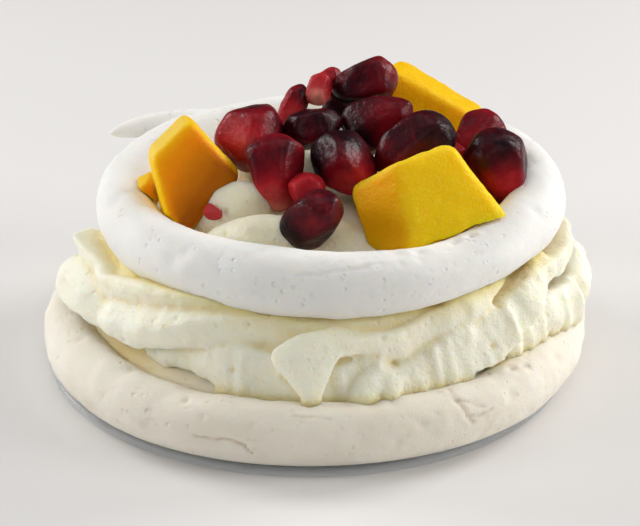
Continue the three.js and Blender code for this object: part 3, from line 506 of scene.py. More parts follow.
# Folds. Each is drawn out along rails, the lip first and then up its face to the shelf on top, with
# points [azimuth, radius, height]. The ruffle is the unevenness of the lip, and the ridges are the
# streaks across the face. The root is [inward, upward] from the rails, mostly (9, 0).
cream_folds = [
    # Left side: the long fold, the recessed one below it, and the band under the ring.
    dict(rails=[[(205, 38.2, 13.4), (214, 39.4, 12.4), (225, 38.4, 12.6), (238, 38.1, 14.8),
                 (251, 37.4, 15.9), (272, 35.4, 16.6)],
                [(205, 38, 16), (216, 39.8, 16), (229, 39.5, 17.8), (241, 38.7, 20.8), (253, 37.2, 23),
                 (272, 34.6, 24)],
                [(205, 36.2, 19), (216, 37, 19.8), (229, 36.4, 21.4), (241, 35.8, 22.4),
                 (253, 34.6, 23.4), (272, 33, 23.6)]],
         ruffle=0.12, ridges=0.16),
    dict(rails=[[(214, 34, 9), (227, 35.4, 9.4), (238, 36.2, 10.4), (247, 37.6, 10.2), (255, 39.4, 8.6),
                 (268, 39.8, 8.2), (294, 39, 8.2)],
                [(214, 34.4, 11.6), (227, 36, 13.8), (238, 36.8, 16), (247, 37, 17.8), (256, 37.4, 19),
                 (268, 37.4, 18.6), (294, 36.6, 17)]],
         ruffle=0.15, ridges=0.3),
    dict(rails=[[(196, 36.8, 18), (209, 37.5, 17), (221, 37, 19.2), (236, 36.2, 20.4), (250, 35, 21.4),
                 (266, 33.6, 22.2)],
                [(198, 37.4, 22.6), (210, 38, 23), (222, 37.6, 24), (236, 36.8, 24.6), (250, 35.8, 24.8),
                 (266, 34.6, 24.8)]],
         root=(9, -1), ruffle=0.12, ridges=0.1),
    # Left edge: the bulge that hangs over the rim, and the ear beside the ring.
    dict(rails=[[(160, 38, 11.4), (176, 40.8, 11.8), (190, 42, 12.6), (202, 41.4, 13.4),
                 (212, 39.8, 12.6), (224, 37.4, 12)],
                [(160, 38, 14), (176, 40.2, 15), (190, 41.2, 17), (202, 40, 18.2), (212, 38.8, 16.4),
                 (224, 37, 14)],
                [(160, 36.4, 15.6), (176, 37.4, 17), (190, 38.2, 20), (202, 37.8, 20.4), (212, 37, 18.8),
                 (224, 36, 17)]],
         root=(9, -1), ruffle=0.15, ridges=0.1),
    dict(rails=[[(174, 36, 18.5), (184, 37.2, 18), (192, 37.2, 18.4), (199, 37, 19), (208, 36.6, 20)],
                [(176, 36.6, 22), (184, 38.8, 23.2), (190, 39.2, 24.2), (197, 38.2, 23.8),
                 (208, 36.6, 23.2)]],
         root=(7, -1), ruffle=0.2, ridges=0.1),
    # Middle: the ribbon, and the hook that hangs from its left end.
    dict(rails=[[(264, 37.6, 16.6), (274, 38.5, 16.8), (285, 38.1, 16.2), (292, 37.9, 14.6),
                 (300, 38, 16.2), (308, 37, 17.6)],
                [(264, 38, 19), (274, 38.9, 20.4), (285, 38.6, 20.7), (292, 38.2, 20.9),
                 (300, 37.8, 22.2), (308, 36.2, 23.4)],
                [(264, 36.2, 19.6), (274, 36.2, 20.2), (285, 35.8, 20), (292, 35.6, 20.2),
                 (300, 35.6, 22), (308, 34.8, 23)]],
         ruffle=0.12, ridges=0.15),
    dict(rails=[[(281, 35.4, 20.4), (270, 38, 21.6), (263.4, 38.6, 20), (260.6, 39.2, 17.6),
                 (264, 40, 14.4), (267.8, 40.6, 12), (271.2, 41, 9)],
                [(284, 35.6, 20), (275, 38.9, 20.8), (270, 40.2, 19.4), (268.8, 40.6, 17),
                 (269.6, 41, 14.4), (270.6, 41.2, 12), (272, 41, 9)],
                [(287, 35.6, 19), (282, 38.2, 19), (279.4, 39, 18), (277.2, 39.5, 16.4),
                 (275.6, 40, 14.4), (274.4, 40.4, 12), (273, 40.6, 9)]],
         root=(4, 0), ruffle=0.08, ridges=0.12),
    # The cream behind them, which shows down in the creases.
    dict(rails=[[(244, 35, 13.6), (258, 36, 14.2), (272, 36.6, 14), (286, 36.8, 13.8), (299, 37, 15.4),
                 (316, 37, 17)],
                [(244, 34.8, 17.4), (258, 36, 18.6), (272, 36.6, 19), (286, 36.8, 18.6), (299, 36.9, 20),
                 (316, 36.8, 21.4)]],
         ruffle=0, ridges=0.1),
    # The dab beside the hook: a block with a craggy face, hollowed out below between its two feet.
    dict(rails=[[(271, 37.6, 9.4), (275.6, 39, 9.2), (279.6, 39.6, 9.4), (283.6, 39, 12.9),
                 (287.4, 39.6, 9.8), (292, 38.6, 9.4)],
                [(271, 36.8, 15.8), (275.6, 37.4, 16.6), (279.6, 37.8, 17), (283.6, 38, 17.2),
                 (287.4, 38, 17), (292.4, 37, 15.6)]],
         root=(5, 0), ruffle=0.12, ridges=0.45),
    # Right side: the wide slanting fold with the ruffled lip, and the band above it.
    dict(rails=[[(280, 38.8, 8.2), (292, 40.2, 8), (300, 41.3, 8.4), (304, 42, 9.8), (313, 43, 11.4),
                 (321, 43.4, 14.2), (330, 43.4, 17.2), (342, 41.4, 22)],
                [(280, 37.4, 15.6), (292, 38.8, 17), (300, 39.1, 18.8), (306, 39.2, 19.6),
                 (313, 39.4, 20), (321, 39.9, 22), (330, 40.2, 24.4), (342, 39, 25)]],
         ruffle=0.5, ridges=0.6),
    dict(rails=[[(290, 37, 16.6), (302, 38.1, 17), (311, 38.6, 17.8), (319, 38.4, 20.6), (328, 37.4, 23)],
                [(292, 36.8, 22), (302, 37.8, 23), (311, 38.2, 23.6), (319, 38.2, 24.4),
                 (328, 37.4, 25)]],
         root=(8, 0), ruffle=0.2, ridges=0.2),
    # Right edge: the fold that leans over the rim, and the ear beside the ring.
    dict(rails=[[(306, 38, 9.4), (322, 40.8, 9.6), (336, 42.8, 9.4), (350, 45.2, 9.8), (368, 45.4, 11.6),
                 (388, 42.5, 12)],
                [(306, 38, 14), (322, 41, 14.4), (336, 43.6, 14), (350, 46.6, 13.8), (368, 46.8, 15.2),
                 (388, 42.8, 16)],
                [(306, 36.6, 17), (322, 39.2, 18.6), (336, 42.2, 18.8), (350, 44.6, 18),
                 (368, 44.4, 19.2), (388, 41, 20)]],
         root=(10, 0), ruffle=0.45, ridges=0.7),
    dict(rails=[[(324, 39.6, 19), (338, 41.6, 18.4), (354, 42.6, 17.6), (370, 41.6, 17.8),
                 (392, 38.6, 17)],
                [(324, 40.2, 23.6), (338, 42.4, 24), (354, 43.8, 24), (370, 42.4, 23.4),
                 (392, 38.8, 22)]],
         root=(9, -1), ruffle=0.35, ridges=0.35),
    # Back: the same pairs of long folds, low and high, carried round to the left.
    dict(rails=[[(12, 40.6, 12), (34, 42, 12), (54, 41, 14.4), (76, 38.4, 16)],
                [(12, 41, 15), (34, 42.4, 15.4), (54, 40.6, 18.6), (76, 37.6, 22)],
                [(12, 39, 18), (34, 39, 19), (54, 37.6, 21), (76, 35, 23)]],
         ruffle=0.3, ridges=0.3),
    dict(rails=[[(18, 38.8, 18), (40, 39, 18.6), (60, 37.4, 20), (84, 35, 21.4)],
                [(18, 40, 22), (40, 40.2, 22.4), (60, 38.4, 23.4), (84, 36, 24.6)]],
         ruffle=0.2, ridges=0.2),
    dict(rails=[[(52, 38, 10.6), (78, 40, 11), (98, 40.2, 12), (118, 38.2, 14.4), (134, 35.6, 16.4)],
                [(52, 37.6, 13), (78, 40.2, 14), (98, 40.2, 16), (118, 38, 19.6), (134, 35.2, 22)],
                [(52, 35.4, 15), (78, 37.6, 16.8), (98, 37.4, 19), (118, 35.6, 21.6), (134, 33.6, 23)]],
         ruffle=0.3, ridges=0.3),
    dict(rails=[[(76, 36.2, 17), (102, 36.8, 17.8), (122, 36.2, 19), (146, 34.6, 20)],
                [(76, 37, 22), (102, 37.4, 22.6), (122, 37, 23.2), (146, 35.6, 23.6)]],
         ruffle=0.2, ridges=0.2),
    dict(rails=[[(102, 38, 10.4), (128, 40.2, 10.8), (146, 40, 11.6), (162, 38, 12.8), (176, 36, 14)],
                [(102, 37.6, 13), (128, 40.2, 14.2), (146, 39.6, 15.6), (162, 37.2, 17.4),
                 (176, 35.6, 19)],
                [(102, 35.4, 15), (128, 37.4, 17), (146, 36.6, 18.6), (162, 35, 20), (176, 34, 21.4)]],
         ruffle=0.3, ridges=0.3),
]

# Lobes: tapering drops from one point to another.
cream_lobes = [
    # The nose that runs down the dab's face to one foot, and the other foot.
    dict(start=(10.6, -36.2, 15.6), end=(6.6, -40.4, 9.2), width=4.6, thickness=2.8, taper=0.4),
    dict(start=(11.4, -36, 15), end=(12.6, -38.9, 9), width=4.2, thickness=2.8, taper=0.4),
    # The ridges that stand up inside the ring, between the pieces of fruit.
    dict(start=(-17, -14, 25), end=(-6, -13, 34.2), width=11, thickness=7, taper=0.2),
    dict(start=(-18, -20, 26), end=(2, -21.5, 30.6), width=8.4, thickness=7, taper=0.1),
    dict(start=(6, -15, 21), end=(3.2, -19, 31.6), width=8, thickness=7, taper=0.4),
    dict(start=(-2, -3, 27), end=(0, -6, 37.6), width=10, thickness=8, taper=0.4),
    # The peaks that hold up the topmost arils and the left ones.
    dict(start=(3, 11, 26), end=(-0.6, 7.2, 40), width=11, thickness=9, taper=0.2),
    dict(start=(-7, 5, 24), end=(-8.6, 0, 36), width=12, thickness=11, taper=0.2),
]


def smooth_path(stations, shares):
    """A smooth line through the stations, at shares of its way from 0 to 1."""
    stations = np.asarray(stations, float)
    stations = np.vstack([2 * stations[0] - stations[1], stations, 2 * stations[-1] - stations[-2]])
    place = np.clip(shares, 0, 1) * (len(stations) - 3)
    step = np.minimum(np.floor(place).astype(int), len(stations) - 4)
    t = (place - step)[:, None]
    before, here, after, beyond = (stations[step + k] for k in range(4))
    return here + 0.5 * t * (after - before + t * (2 * before - 5 * here + 4 * after - beyond
                                                   + t * (3 * (here - after) + beyond - before)))


def closed_sweep(section_at, along_steps, around_steps):
    """A closed shape from section_at(along, around), its first and last sections being points."""
    along = np.linspace(0, 1, along_steps + 1)
    around = np.arange(around_steps) * 2 * np.pi / around_steps
    grid_along, grid_around = np.meshgrid(along[1:-1], around, indexing="ij")
    points = section_at(grid_along.ravel(), grid_around.ravel())
    tips = section_at(np.array([0.0, 1.0]), np.zeros(2))
    return np.vstack([points, tips]), rows_of_faces(along_steps - 1, around_steps)


def from_polar(azimuth, radius, height):
    turn = np.radians(azimuth)
    return np.stack([radius * np.cos(turn), radius * np.sin(turn), height], axis=1)


def corner_shares(corners, cut):
    """How much of each corner goes into each point of an outline that rounds the corners off."""
    shares = np.eye(corners)
    for step in (cut, 0.25, 0.25):
        after = np.roll(shares, -1, axis=0)
        both = np.stack([(1 - step) * shares + step * after, step * shares + (1 - step) * after], axis=1)
        shares = both.reshape(-1, corners)
    return shares


def cream_fold(rails, ruffle, ridges, seed, root=(9, 0)):
    """A long fold drawn out along its rails, with streaks over its face and a blunt end each way."""
    end_power = 0.35
    shares = corner_shares(len(rails) + 1, 0.14)
    length = np.linalg.norm(np.diff(from_polar(*np.array(rails[0], float).T), axis=0), axis=1).sum()

    def section(along, around):
        share = shares[np.round(around * len(shares) / (2 * np.pi)).astype(int) % len(shares)]
        swell = np.maximum(0, np.sin(np.pi * along)) ** end_power
        outer = 1 - share[:, -1]
        up_face = share[:, 1:-1].sum(axis=1) * 5
        distance = along * length
        streak = np.stack([distance + 0.35 * up_face, 0.22 * up_face, 0 * along], axis=1)
        frill = np.stack([distance, up_face, 0 * along], axis=1)
        push = ridges * (lumps(streak, 1.3, seed) + 0.8 * lumps(streak, 2.6, seed + 50)) * outer
        push += 0.4 * lumps(frill, 7, seed + 90) * outer
        rise = ruffle * (lumps(frill, 1.8, seed + 20) + lumps(frill, 3.4, seed + 30)) * share[:, 0] * 1.6
        corners = []
        for rail in rails:
            azimuth, radius, height = smooth_path(rail, along).T
            corners.append(from_polar(azimuth, radius + push, height + rise))
        low = smooth_path(rails[0], along)
        high = smooth_path(rails[-1], along)
        azimuth, radius, height = ((low + high) / 2).T
        corners.append(from_polar(azimuth, radius - root[0], height + root[1]))
        core = 0.5 * corners[0] + 0.3 * corners[1] + 0.2 * corners[-1]
        made = sum(share[:, k:k + 1] * corner for k, corner in enumerate(corners))
        return core + (made - core) * swell[:, None]

    return closed_sweep(section, fold_steps, len(shares))


def cream_lobe(start, end, width, thickness, taper):
    """A drop between two points, a flat oval in section. The taper thins its far half."""
    start, end = np.array(start, float), np.array(end, float)
    axis = end - start
    side = np.cross(axis, (0, -1, 0.3))
    side /= np.linalg.norm(side)
    depth = np.cross(side, axis)
    depth /= np.linalg.norm(depth)

    def section(along, around):
        thinning = 1 + taper * (0.5 - 2 * along + along * along)
        swell = (np.maximum(0, np.sin(np.pi * along)) ** 0.7 * thinning)[:, None]
        wide = width / 2 * np.cos(around)[:, None] * side
        deep = thickness / 2 * np.sin(around)[:, None] * depth
        return start + along[:, None] * axis + swell * (wide + deep)

    return closed_sweep(section, lobe_steps, lobe_turn_steps)


def outward_faces(points, faces):
    """Turns a closed shape's faces outwards if they all face in."""
    faces = [tuple(face) for face in faces]
    volume = sum(np.dot(points[f[0]], np.cross(points[f[k]], points[f[k + 1]]))
                 for f in faces for k in range(1, len(f) - 1))
    return faces if volume > 0 else [face[::-1] for face in faces]


def melted(shapes, cell):
    """Melts closed shapes that overlap into one skin of even square cells."""
    points, faces, first = [], [], 0
    for shape_points, shape_faces in shapes:
        points += shape_points.tolist()
        outward = outward_faces(shape_points, shape_faces)
        faces += [tuple(first + corner for corner in face) for face in outward]
        first += len(shape_points)
    mesh = bpy.data.meshes.new("melting")
    mesh.from_pydata(points, [], faces)
    pot = bpy.data.objects.new("melting", mesh)
    bpy.context.scene.collection.objects.link(pot)
    heat = pot.modifiers.new("melting", "REMESH")
    heat.mode = "VOXEL"
    heat.voxel_size = cell
    skin = pot.evaluated_get(bpy.context.evaluated_depsgraph_get()).to_mesh()
    skin_points = np.empty(len(skin.vertices) * 3)
    skin.vertices.foreach_get("co", skin_points)
    corners = np.empty(len(skin.loops), dtype=np.int32)
    skin.loops.foreach_get("vertex_index", corners)
    bpy.data.objects.remove(pot)
    bpy.data.meshes.remove(mesh)
    return skin_points.reshape(-1, 3), corners.reshape(-1, 4).astype(np.int64)


def softened(points, faces, rounds, share=0.5):
    """Draws every point towards the middle of its neighbours, several times."""
    here, there = faces.ravel(), np.roll(faces, -1, axis=1).ravel()
    count = np.bincount(here, minlength=len(points))[:, None]
    for _ in range(rounds):
        sums = [np.bincount(here, points[there, axis], len(points)) for axis in range(3)]
        points = points + share * (np.stack(sums, axis=1) / count - points)
    return points


def across_bead(points, bead_radius, middle, lean, half_width, half_height):
    """Where points lie over a ring-shaped bead: across and above, as shares of its half sizes."""
    flat = points[:, :2] - middle[:2]
    across = (np.linalg.norm(flat, axis=1) - bead_radius) / half_width
    bead_height = middle[2] + lean[0] * flat[:, 0] + lean[1] * flat[:, 1]
    return flat, bead_height, across, (points[:, 2] - bead_height) / half_height


def pressed_out(points, reach, seat, bead_radius, middle, lean, half_width, half_height):
    """Moves what lies inside a ring-shaped bead, or all but touches it, to just under its skin."""
    flat, bead_height, across, above = across_bead(
        points, bead_radius, middle, lean, half_width, half_height)
    depth = np.hypot(across, above)
    inside = depth < reach
    push = np.where(inside, seat / np.maximum(depth, 0.05), 1)
    moved = points.copy()
    share = (bead_radius + across * push * half_width) / np.linalg.norm(flat, axis=1)
    moved[:, :2] = np.where(inside[:, None], middle[:2] + flat * share[:, None], points[:, :2])
    moved[:, 2] = np.where(inside, bead_height + above * push * half_height, points[:, 2])
    return moved


def beside_bead(points, fade, *bead):
    """How near each point is to a bead: 1 on its skin, fading out over some millimetres."""
    across, above = across_bead(points, *bead)[2:]
    gap = (np.hypot(across, above) - 1) * bead[-1]
    return np.exp(-np.maximum(gap, 0) / fade)


heap_outline = [(0, heap_foot), (32.6, heap_foot), (33, 12), (35.2, 15.4), (35.4, 21), (29, 26), (22, 28),
                (14, mound_height - 1.5), (0, mound_height)]
heap_points, heap_faces = turned(heap_outline, heap_turn_steps)
heap_points[:, :2] += heap_middle
cream_shapes = [(heap_points, heap_faces)]
cream_shapes += [cream_fold(seed=100 + number, **fold) for number, fold in enumerate(cream_folds)]
cream_shapes += [cream_lobe(**lobe) for lobe in cream_lobes]
cream_points, cream_faces = melted(cream_shapes, cream_cell)
cream_points = softened(cream_points, cream_faces, rounds=2)
cream_normals = normals_of(cream_points, cream_faces)
cream_swell = unevenness(cream_points, (0.26, 5.5, 41), (0.13, 2.4, 42), (0.08, 1.2, 43))
cream_pits = scattered_pits(cream_points, cream_normals, count=230, widths=(0.35, 0.7), deepness=0.9,
                            seed=44)
cream_points = cream_points + cream_normals * (cream_swell - cream_pits)[:, None]
# The ring's bead, which presses on the cream and is made in the next section.
ring_middle = np.array([3.4, 1.3, 27.3])
ring_lean = (0.024, 0.012)             # rise per millimetre towards +X and +Y
ring_radius = 38.5                     # to the outside of the bead
ring_bead_width = 9.4
ring_bead_height = 10.4
ring_bead = (ring_radius - ring_bead_width / 2, ring_middle, ring_lean,
             ring_bead_width / 2, ring_bead_height / 2)
nest_seat = np.array([nest_middle.x, nest_middle.y, nest_foot + nest_bead_height / 2 - nest_flattening])
nest_bead = (bead_middle_radius, nest_seat, (0, 0), bead_half_width, nest_bead_height / 2)
cream_points = pressed_out(cream_points, ring_press_reach, ring_press_seat, *ring_bead)
cream_points = pressed_out(cream_points, nest_press_reach, nest_press_seat, *nest_bead)
cream_normals = normals_of(cream_points, cream_faces)
# Painted ochre shade in creases, pinholes, under the ring and against the nest; painted warm bounce light
# inside the ring.
crease_painted_shade, pinhole_painted_shade, ring_painted_shade, nest_painted_shade, inner_painted_bounce = 0.6, 0.15, 0.95, 0.9, 0.16
ring_fade, nest_fade = 1.4, 0.8
inner_radius = 30
crease = np.sum(cream_normals * (softened(cream_points, cream_faces, rounds=60) - cream_points), axis=1)
pinhole = np.sum(cream_normals * (softened(cream_points, cream_faces, rounds=8) - cream_points), axis=1)
cream_painted_shade_and_bounce = np.clip(crease / 1.2, 0, 1) * crease_painted_shade + np.clip(pinhole / 0.2, 0, 1) * pinhole_painted_shade
under_ring = soft_step(ring_middle[2] - cream_points[:, 2], -1, 2)
cream_painted_shade_and_bounce += ring_painted_shade * beside_bead(cream_points, ring_fade, *ring_bead) * under_ring
cream_painted_shade_and_bounce += nest_painted_shade * beside_bead(cream_points, nest_fade, *nest_bead)
cream_painted_shade_and_bounce += inner_painted_bounce * soft_step(inner_radius - np.linalg.norm(cream_points[:, :2], axis=1), 0, 3)


def whipped_cream():
    """Whipped cream: soft satin, warm white, with painted ochre shade in its creases and against the
    meringue.
    """
    material, shader = finish_named(
        "whipped_cream", Roughness=0.55, Subsurface_Weight=0.7, Subsurface_Radius=(1.0, 0.75, 0.4),
        Subsurface_Scale=0.0022, Specular_IOR_Level=0.3)
    wires = material.node_tree.links
    where = mixed_in(material, "TexCoord")
    cloud = mixed_in(material, "TexNoise", Vector=where, Scale=90)
    colour = colour_blend(material, cloud, (0.3, (0.92, 0.88, 0.73)), (0.65, (0.96, 0.93, 0.80)))
    # Painted ochre shade and warm bounce light, as strong as the tint written on the piece.
    wires.new(tinted(material, colour, "painted_shade_and_bounce", (0.88, 0.70, 0.24)), shader.inputs["Base Color"])
    # Froth: a fine grain, coarser mottling and open bubbles.
    froth = mixed_in(material, "TexNoise", Vector=where, Scale=2400, Detail=2)
    relief = mixed_in(material, "Bump", Height=froth, Strength=0.6, Distance=0.0002)
    mottling = mixed_in(material, "TexNoise", Vector=where, Scale=900, Detail=3)
    relief = mixed_in(material, "Bump", Height=mottling, Strength=0.7, Distance=0.0004, Normal=relief)
    bubbles = mixed_in(material, "TexVoronoi", Vector=where, Scale=520)
    opened = mixed_in(material, "MapRange", Value=bubbles, From_Min=0.06, From_Max=0.2)
    relief = mixed_in(material, "Bump", Height=opened, Strength=0.45, Distance=0.0004, Normal=relief)
    wires.new(relief, shader.inputs["Normal"])
    return material


cream = piece_from("cream_folds", cream_points, cream_faces, whipped_cream())
write_tint(cream, "painted_shade_and_bounce", np.clip(cream_painted_shade_and_bounce, 0, 1))
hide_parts("cream")
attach(cream, "root")

# ------------------------------------------------------------------ meringue ring
# One bead of white meringue piped in a closed loop and laid on the cream. The piping ends in a
# tapering tail over the back, whose tip sticks out to the left. It leans a little to the front.

ring_width_waves = [(2, 0.2, 90), (3, 0.15, 20), (5, 0.15, 70)]
ring_height_waves = [(3, 0.15, 200), (5, 0.15, 30)]
ring_dip_azimuth, ring_dip_spread, ring_dip_depth = 305, 18, 1.8
pitted_azimuth, pitted_spread = 272, 26
ring_cell = 0.4
tail_steps, tail_turn_steps = 80, 32
ring_tail = [(98, 33, 28), (114, 34.2, 28.6), (130, 36.6, 29.5), (142, 39.4, 30.2), (153, 42.6, 30.4)]
ring_tail_widths = [2.8, 3, 2.9, 2.4, 1]
ring_tail_flatness = 0.85
ring_cracks = [
    ([(243.8, 77), (243.4, 66), (244.2, 58), (243.6, 45), (244.1, 24)], 0.16, 0.12, 0.1),
    ([(262, 38), (267.4, 40), (269.8, 45), (272.7, 47), (275.7, 50), (278.3, 56), (282, 58)],
     0.25, 0.22, 0.12),
    ([(292, -26), (294.6, -12), (298.2, -4)], 0.2, 0.15, 0.05),
    ([(60, 40), (64, 52), (69, 50), (74, 60)], 0.25, 0.2, 0.1),
    ([(350, 20), (356, 30), (1, 26)], 0.25, 0.2, 0.1),
    ([(150, 5), (156, 14), (163, 10)], 0.25, 0.2, 0.1),
]
# Dents and, with a negative depth, crumbs: [azimuth, angle round the bead], radius and depth.
ring_dents = [
    ((286, 92), 1.3, 0.35), ((289, 88), 0.8, -0.3), ((292, 86), 1.2, 0.45), ((295, 90), 0.9, -0.25),
    ((303, 91), 0.6, 0.5), ((306, 96), 0.5, -0.45), ((308.7, 91), 0.5, 0.5), ((310.7, 85), 0.5, -0.3),
    ((234.6, 46), 0.9, 0.25), ((232, 25), 1.4, 0.3), ((249.8, 60), 0.7, 0.2), ((253, 76), 0.8, 0.2),
    ((291, 64), 0.7, 0.25), ((286, 56), 0.6, 0.2), ((200, 60), 1.6, 0.35), ((182, 40), 1.5, 0.4),
    ((20, 60), 1.5, 0.35), ((60, 10), 1.8, 0.4), ((100, 30), 1.5, 0.35), ((330, 50), 1.2, 0.3),
]


def on_ring_bead(azimuth, around, grow=0.0):
    """Points of the ring's bead at azimuths and angles round the bead, both in degrees."""
    azimuth, around = np.atleast_1d(azimuth).astype(float), np.atleast_1d(around).astype(float)
    across = (ring_bead_width / 2 + grow) * np.cos(np.radians(around))
    above = (ring_bead_height / 2 + grow) * np.sin(np.radians(around))
    dip = ring_dip_depth * np.exp(-((azimuth - ring_dip_azimuth) / ring_dip_spread) ** 2)
    above -= dip * np.maximum(0, np.sin(np.radians(around)))
    middle = ring_radius - ring_bead_width / 2 + waves(azimuth, ring_width_waves)
    points = from_polar(azimuth, middle + across, above + waves(azimuth, ring_height_waves))
    centre_line = from_polar(azimuth, middle, np.zeros_like(azimuth))
    points[:, 2] += centre_line[:, 0] * ring_lean[0] + centre_line[:, 1] * ring_lean[1]
    return points + ring_middle


ring_azimuths, ring_angles = np.meshgrid(np.arange(0, 360, 1.0), np.arange(0, 360, 5.0), indexing="ij")
ring_rows, ring_columns = ring_azimuths.shape
loop_points = on_ring_bead(ring_azimuths.ravel(), ring_angles.ravel())
loop_faces = [(i * ring_columns + j, (i + 1) % ring_rows * ring_columns + j,
               (i + 1) % ring_rows * ring_columns + (j + 1) % ring_columns,
               i * ring_columns + (j + 1) % ring_columns)
              for i in range(ring_rows) for j in range(ring_columns)]


def tail_section(along, around):
    azimuth, radius, height = smooth_path(ring_tail, along).T
    stations = np.linspace(0, 1, len(ring_tail_widths))
    closing = np.minimum(1, 12 * np.minimum(along, 1 - along)) ** 0.5
    half_width = np.interp(along, stations, ring_tail_widths) * closing
    points = from_polar(azimuth, radius + half_width * np.cos(around),
                        height + ring_tail_flatness * half_width * np.sin(around))
    return points + (ring_middle[0], ring_middle[1], 0)


ring_tail_shape = closed_sweep(tail_section, tail_steps, tail_turn_steps)
ring_points, ring_faces = melted([(loop_points, loop_faces), ring_tail_shape], ring_cell)
ring_points = softened(ring_points, ring_faces, rounds=3)
ring_normals = normals_of(ring_points, ring_faces)
swell = unevenness(ring_points, (0.22, 9, 61), (0.1, 3.5, 62), (0.045, 1.3, 63))
sink = dents_in(ring_points, on_ring_bead, ring_dents)
front_band = np.exp(-((azimuth_of(ring_points - ring_middle) - pitted_azimuth) / pitted_spread) ** 2)
sink += scattered_pits(ring_points, ring_normals, count=260, widths=(0.22, 0.42), deepness=0.36, seed=64,
                       over=0.04 + front_band)
crack_sink, ring_browning = cracks_in(ring_points, on_ring_bead, ring_cracks, wander=0.3,
                                      wander_size=1.4, seed=71)
sink += crack_sink
ring_points = ring_points + ring_normals * (swell - sink)[:, None]
ring_crust = meringue("ring_meringue", crust=(0.87, 0.86, 0.83), shade=(0.83, 0.82, 0.79),
                      crack_colour=(0.52, 0.46, 0.38), grain=0.3)
ring = piece_from("meringue_ring_piped", ring_points, ring_faces, ring_crust)
write_tint(ring, "crack", ring_browning)
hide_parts("meringue_ring")
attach(ring, "root")

# ------------------------------------------------------------------ mango
# Pieces cut from a ripe mango: flat cuts that meet in soft edges, wet, with a fine grain and a
# few fibres. They are bedded in the cream and lean on the ring.

mango_cell = 0.3
mango_edge_rounds = 7          # how often the corners are softened
# For each piece: how orange its flesh is (0 to 1); the direction (azimuth, elevation) of the cut faces
# that get painted light as a paler yellow, and how strongly; the direction of the cut faces that get
# painted shade as a deeper orange, the way that this shade deepens across the piece, and how deep it is at
# first and at the end.
mango_looks = {
    "mango_left": (0.26, (175, 50), 0.9, (300, 0), (345, -25), (0.26, 1.0)),
    "mango_front": (0.07, (150, 60), 0.3, (215, 0), (215, 0), (0.6, 0.44)),
    "mango_back": (0.3, (10, 65), 0, (265, 0), (270, -60), (0.0, 0.1)),
    "mango_small": (0.35, (180, 60), 0.3, (290, 0), (300, -30), (0.2, 0.4)),
}


def cad_shape(node):
    """The points and faces of a CAD node, in millimetres."""
    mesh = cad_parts[node].data
    points = np.array([vertex.co for vertex in mesh.vertices]) / MM
    rounded, joined = np.unique(np.round(points, 4), axis=0, return_inverse=True)
    joined = joined.reshape(-1)
    faces = [tuple(joined[corner] for corner in face.vertices) for face in mesh.polygons]
    return rounded, [face for face in faces if len(set(face)) == len(face)]


def way(azimuth, elevation):
    """The direction at an azimuth and an elevation, in degrees."""
    turn, lift = math.radians(azimuth), math.radians(elevation)
    return np.array([math.cos(turn) * math.cos(lift), math.sin(turn) * math.cos(lift), math.sin(lift)])


def mango_flesh():
    """Ripe mango: orange-yellow, see-through for a few millimetres, wet and finely grained."""
    material, shader = finish_named(
        "mango_flesh", Roughness=0.5, Subsurface_Weight=0.65, Subsurface_Radius=(1.0, 0.45, 0.03),
        Subsurface_Scale=0.0035, Specular_IOR_Level=0.09, Coat_Weight=0.04, Coat_Roughness=0.15)
    wires = material.node_tree.links
    where = mixed_in(material, "TexCoord")
    cloud = mixed_in(material, "TexNoise", Vector=where, Scale=160, Detail=5)
    # The orange share is the flesh's own ripeness plus painted shade.
    orange_and_painted_shade = mixed_in(material, "Attribute", attribute_name="orange_and_painted_shade")
    clouded = mixed_in(material, "Math", cloud, 0.14, orange_and_painted_shade, operation="MULTIPLY_ADD")
    colour = colour_blend(material, clouded, (0.07, (1.0, 0.65, 0.006)), (0.37, (0.93, 0.52, 0.002)),
                          (0.76, (0.86, 0.29, 0.001)), (1, (0.50, 0.14, 0.0006)))
    # Painted light: a paler yellow on cut faces turned towards the lamps.
    colour = tinted(material, colour, "pale", (0.86, 0.58, 0.07))
    # Small bright yellow specks, on the front piece only and kept off its faces with painted shade.
    grain = mixed_in(material, "TexNoise", Vector=where, Scale=2400, Detail=2)
    specks = mixed_in(material, "MapRange", Value=grain, From_Min=0.54, From_Max=0.72)
    grainy = mixed_in(material, "Attribute", attribute_name="grainy")
    speck_share = mixed_in(material, "Math", specks, grainy, operation="MULTIPLY")
    colour = mixed_in(material, "Mix", data_type="RGBA", Factor=speck_share, A=colour,
                      B=(0.98, 0.80, 0.10, 1))
    wires.new(colour, shader.inputs["Base Color"])
    stretched = mixed_in(material, "Mapping", Vector=where, Rotation=(0.4, 0.7, 0.3),
                         Scale=(0.25, 1.6, 1.6))
    fibres = mixed_in(material, "TexNoise", Vector=stretched, Scale=420, Detail=2)
    relief = mixed_in(material, "Bump", Height=grain, Strength=0.5, Distance=0.0003)
    relief = mixed_in(material, "Bump", Height=fibres, Strength=0.12, Distance=0.0004, Normal=relief)
    wires.new(relief, shader.inputs["Normal"])
    wires.new(relief, shader.inputs["Coat Normal"])
    return material


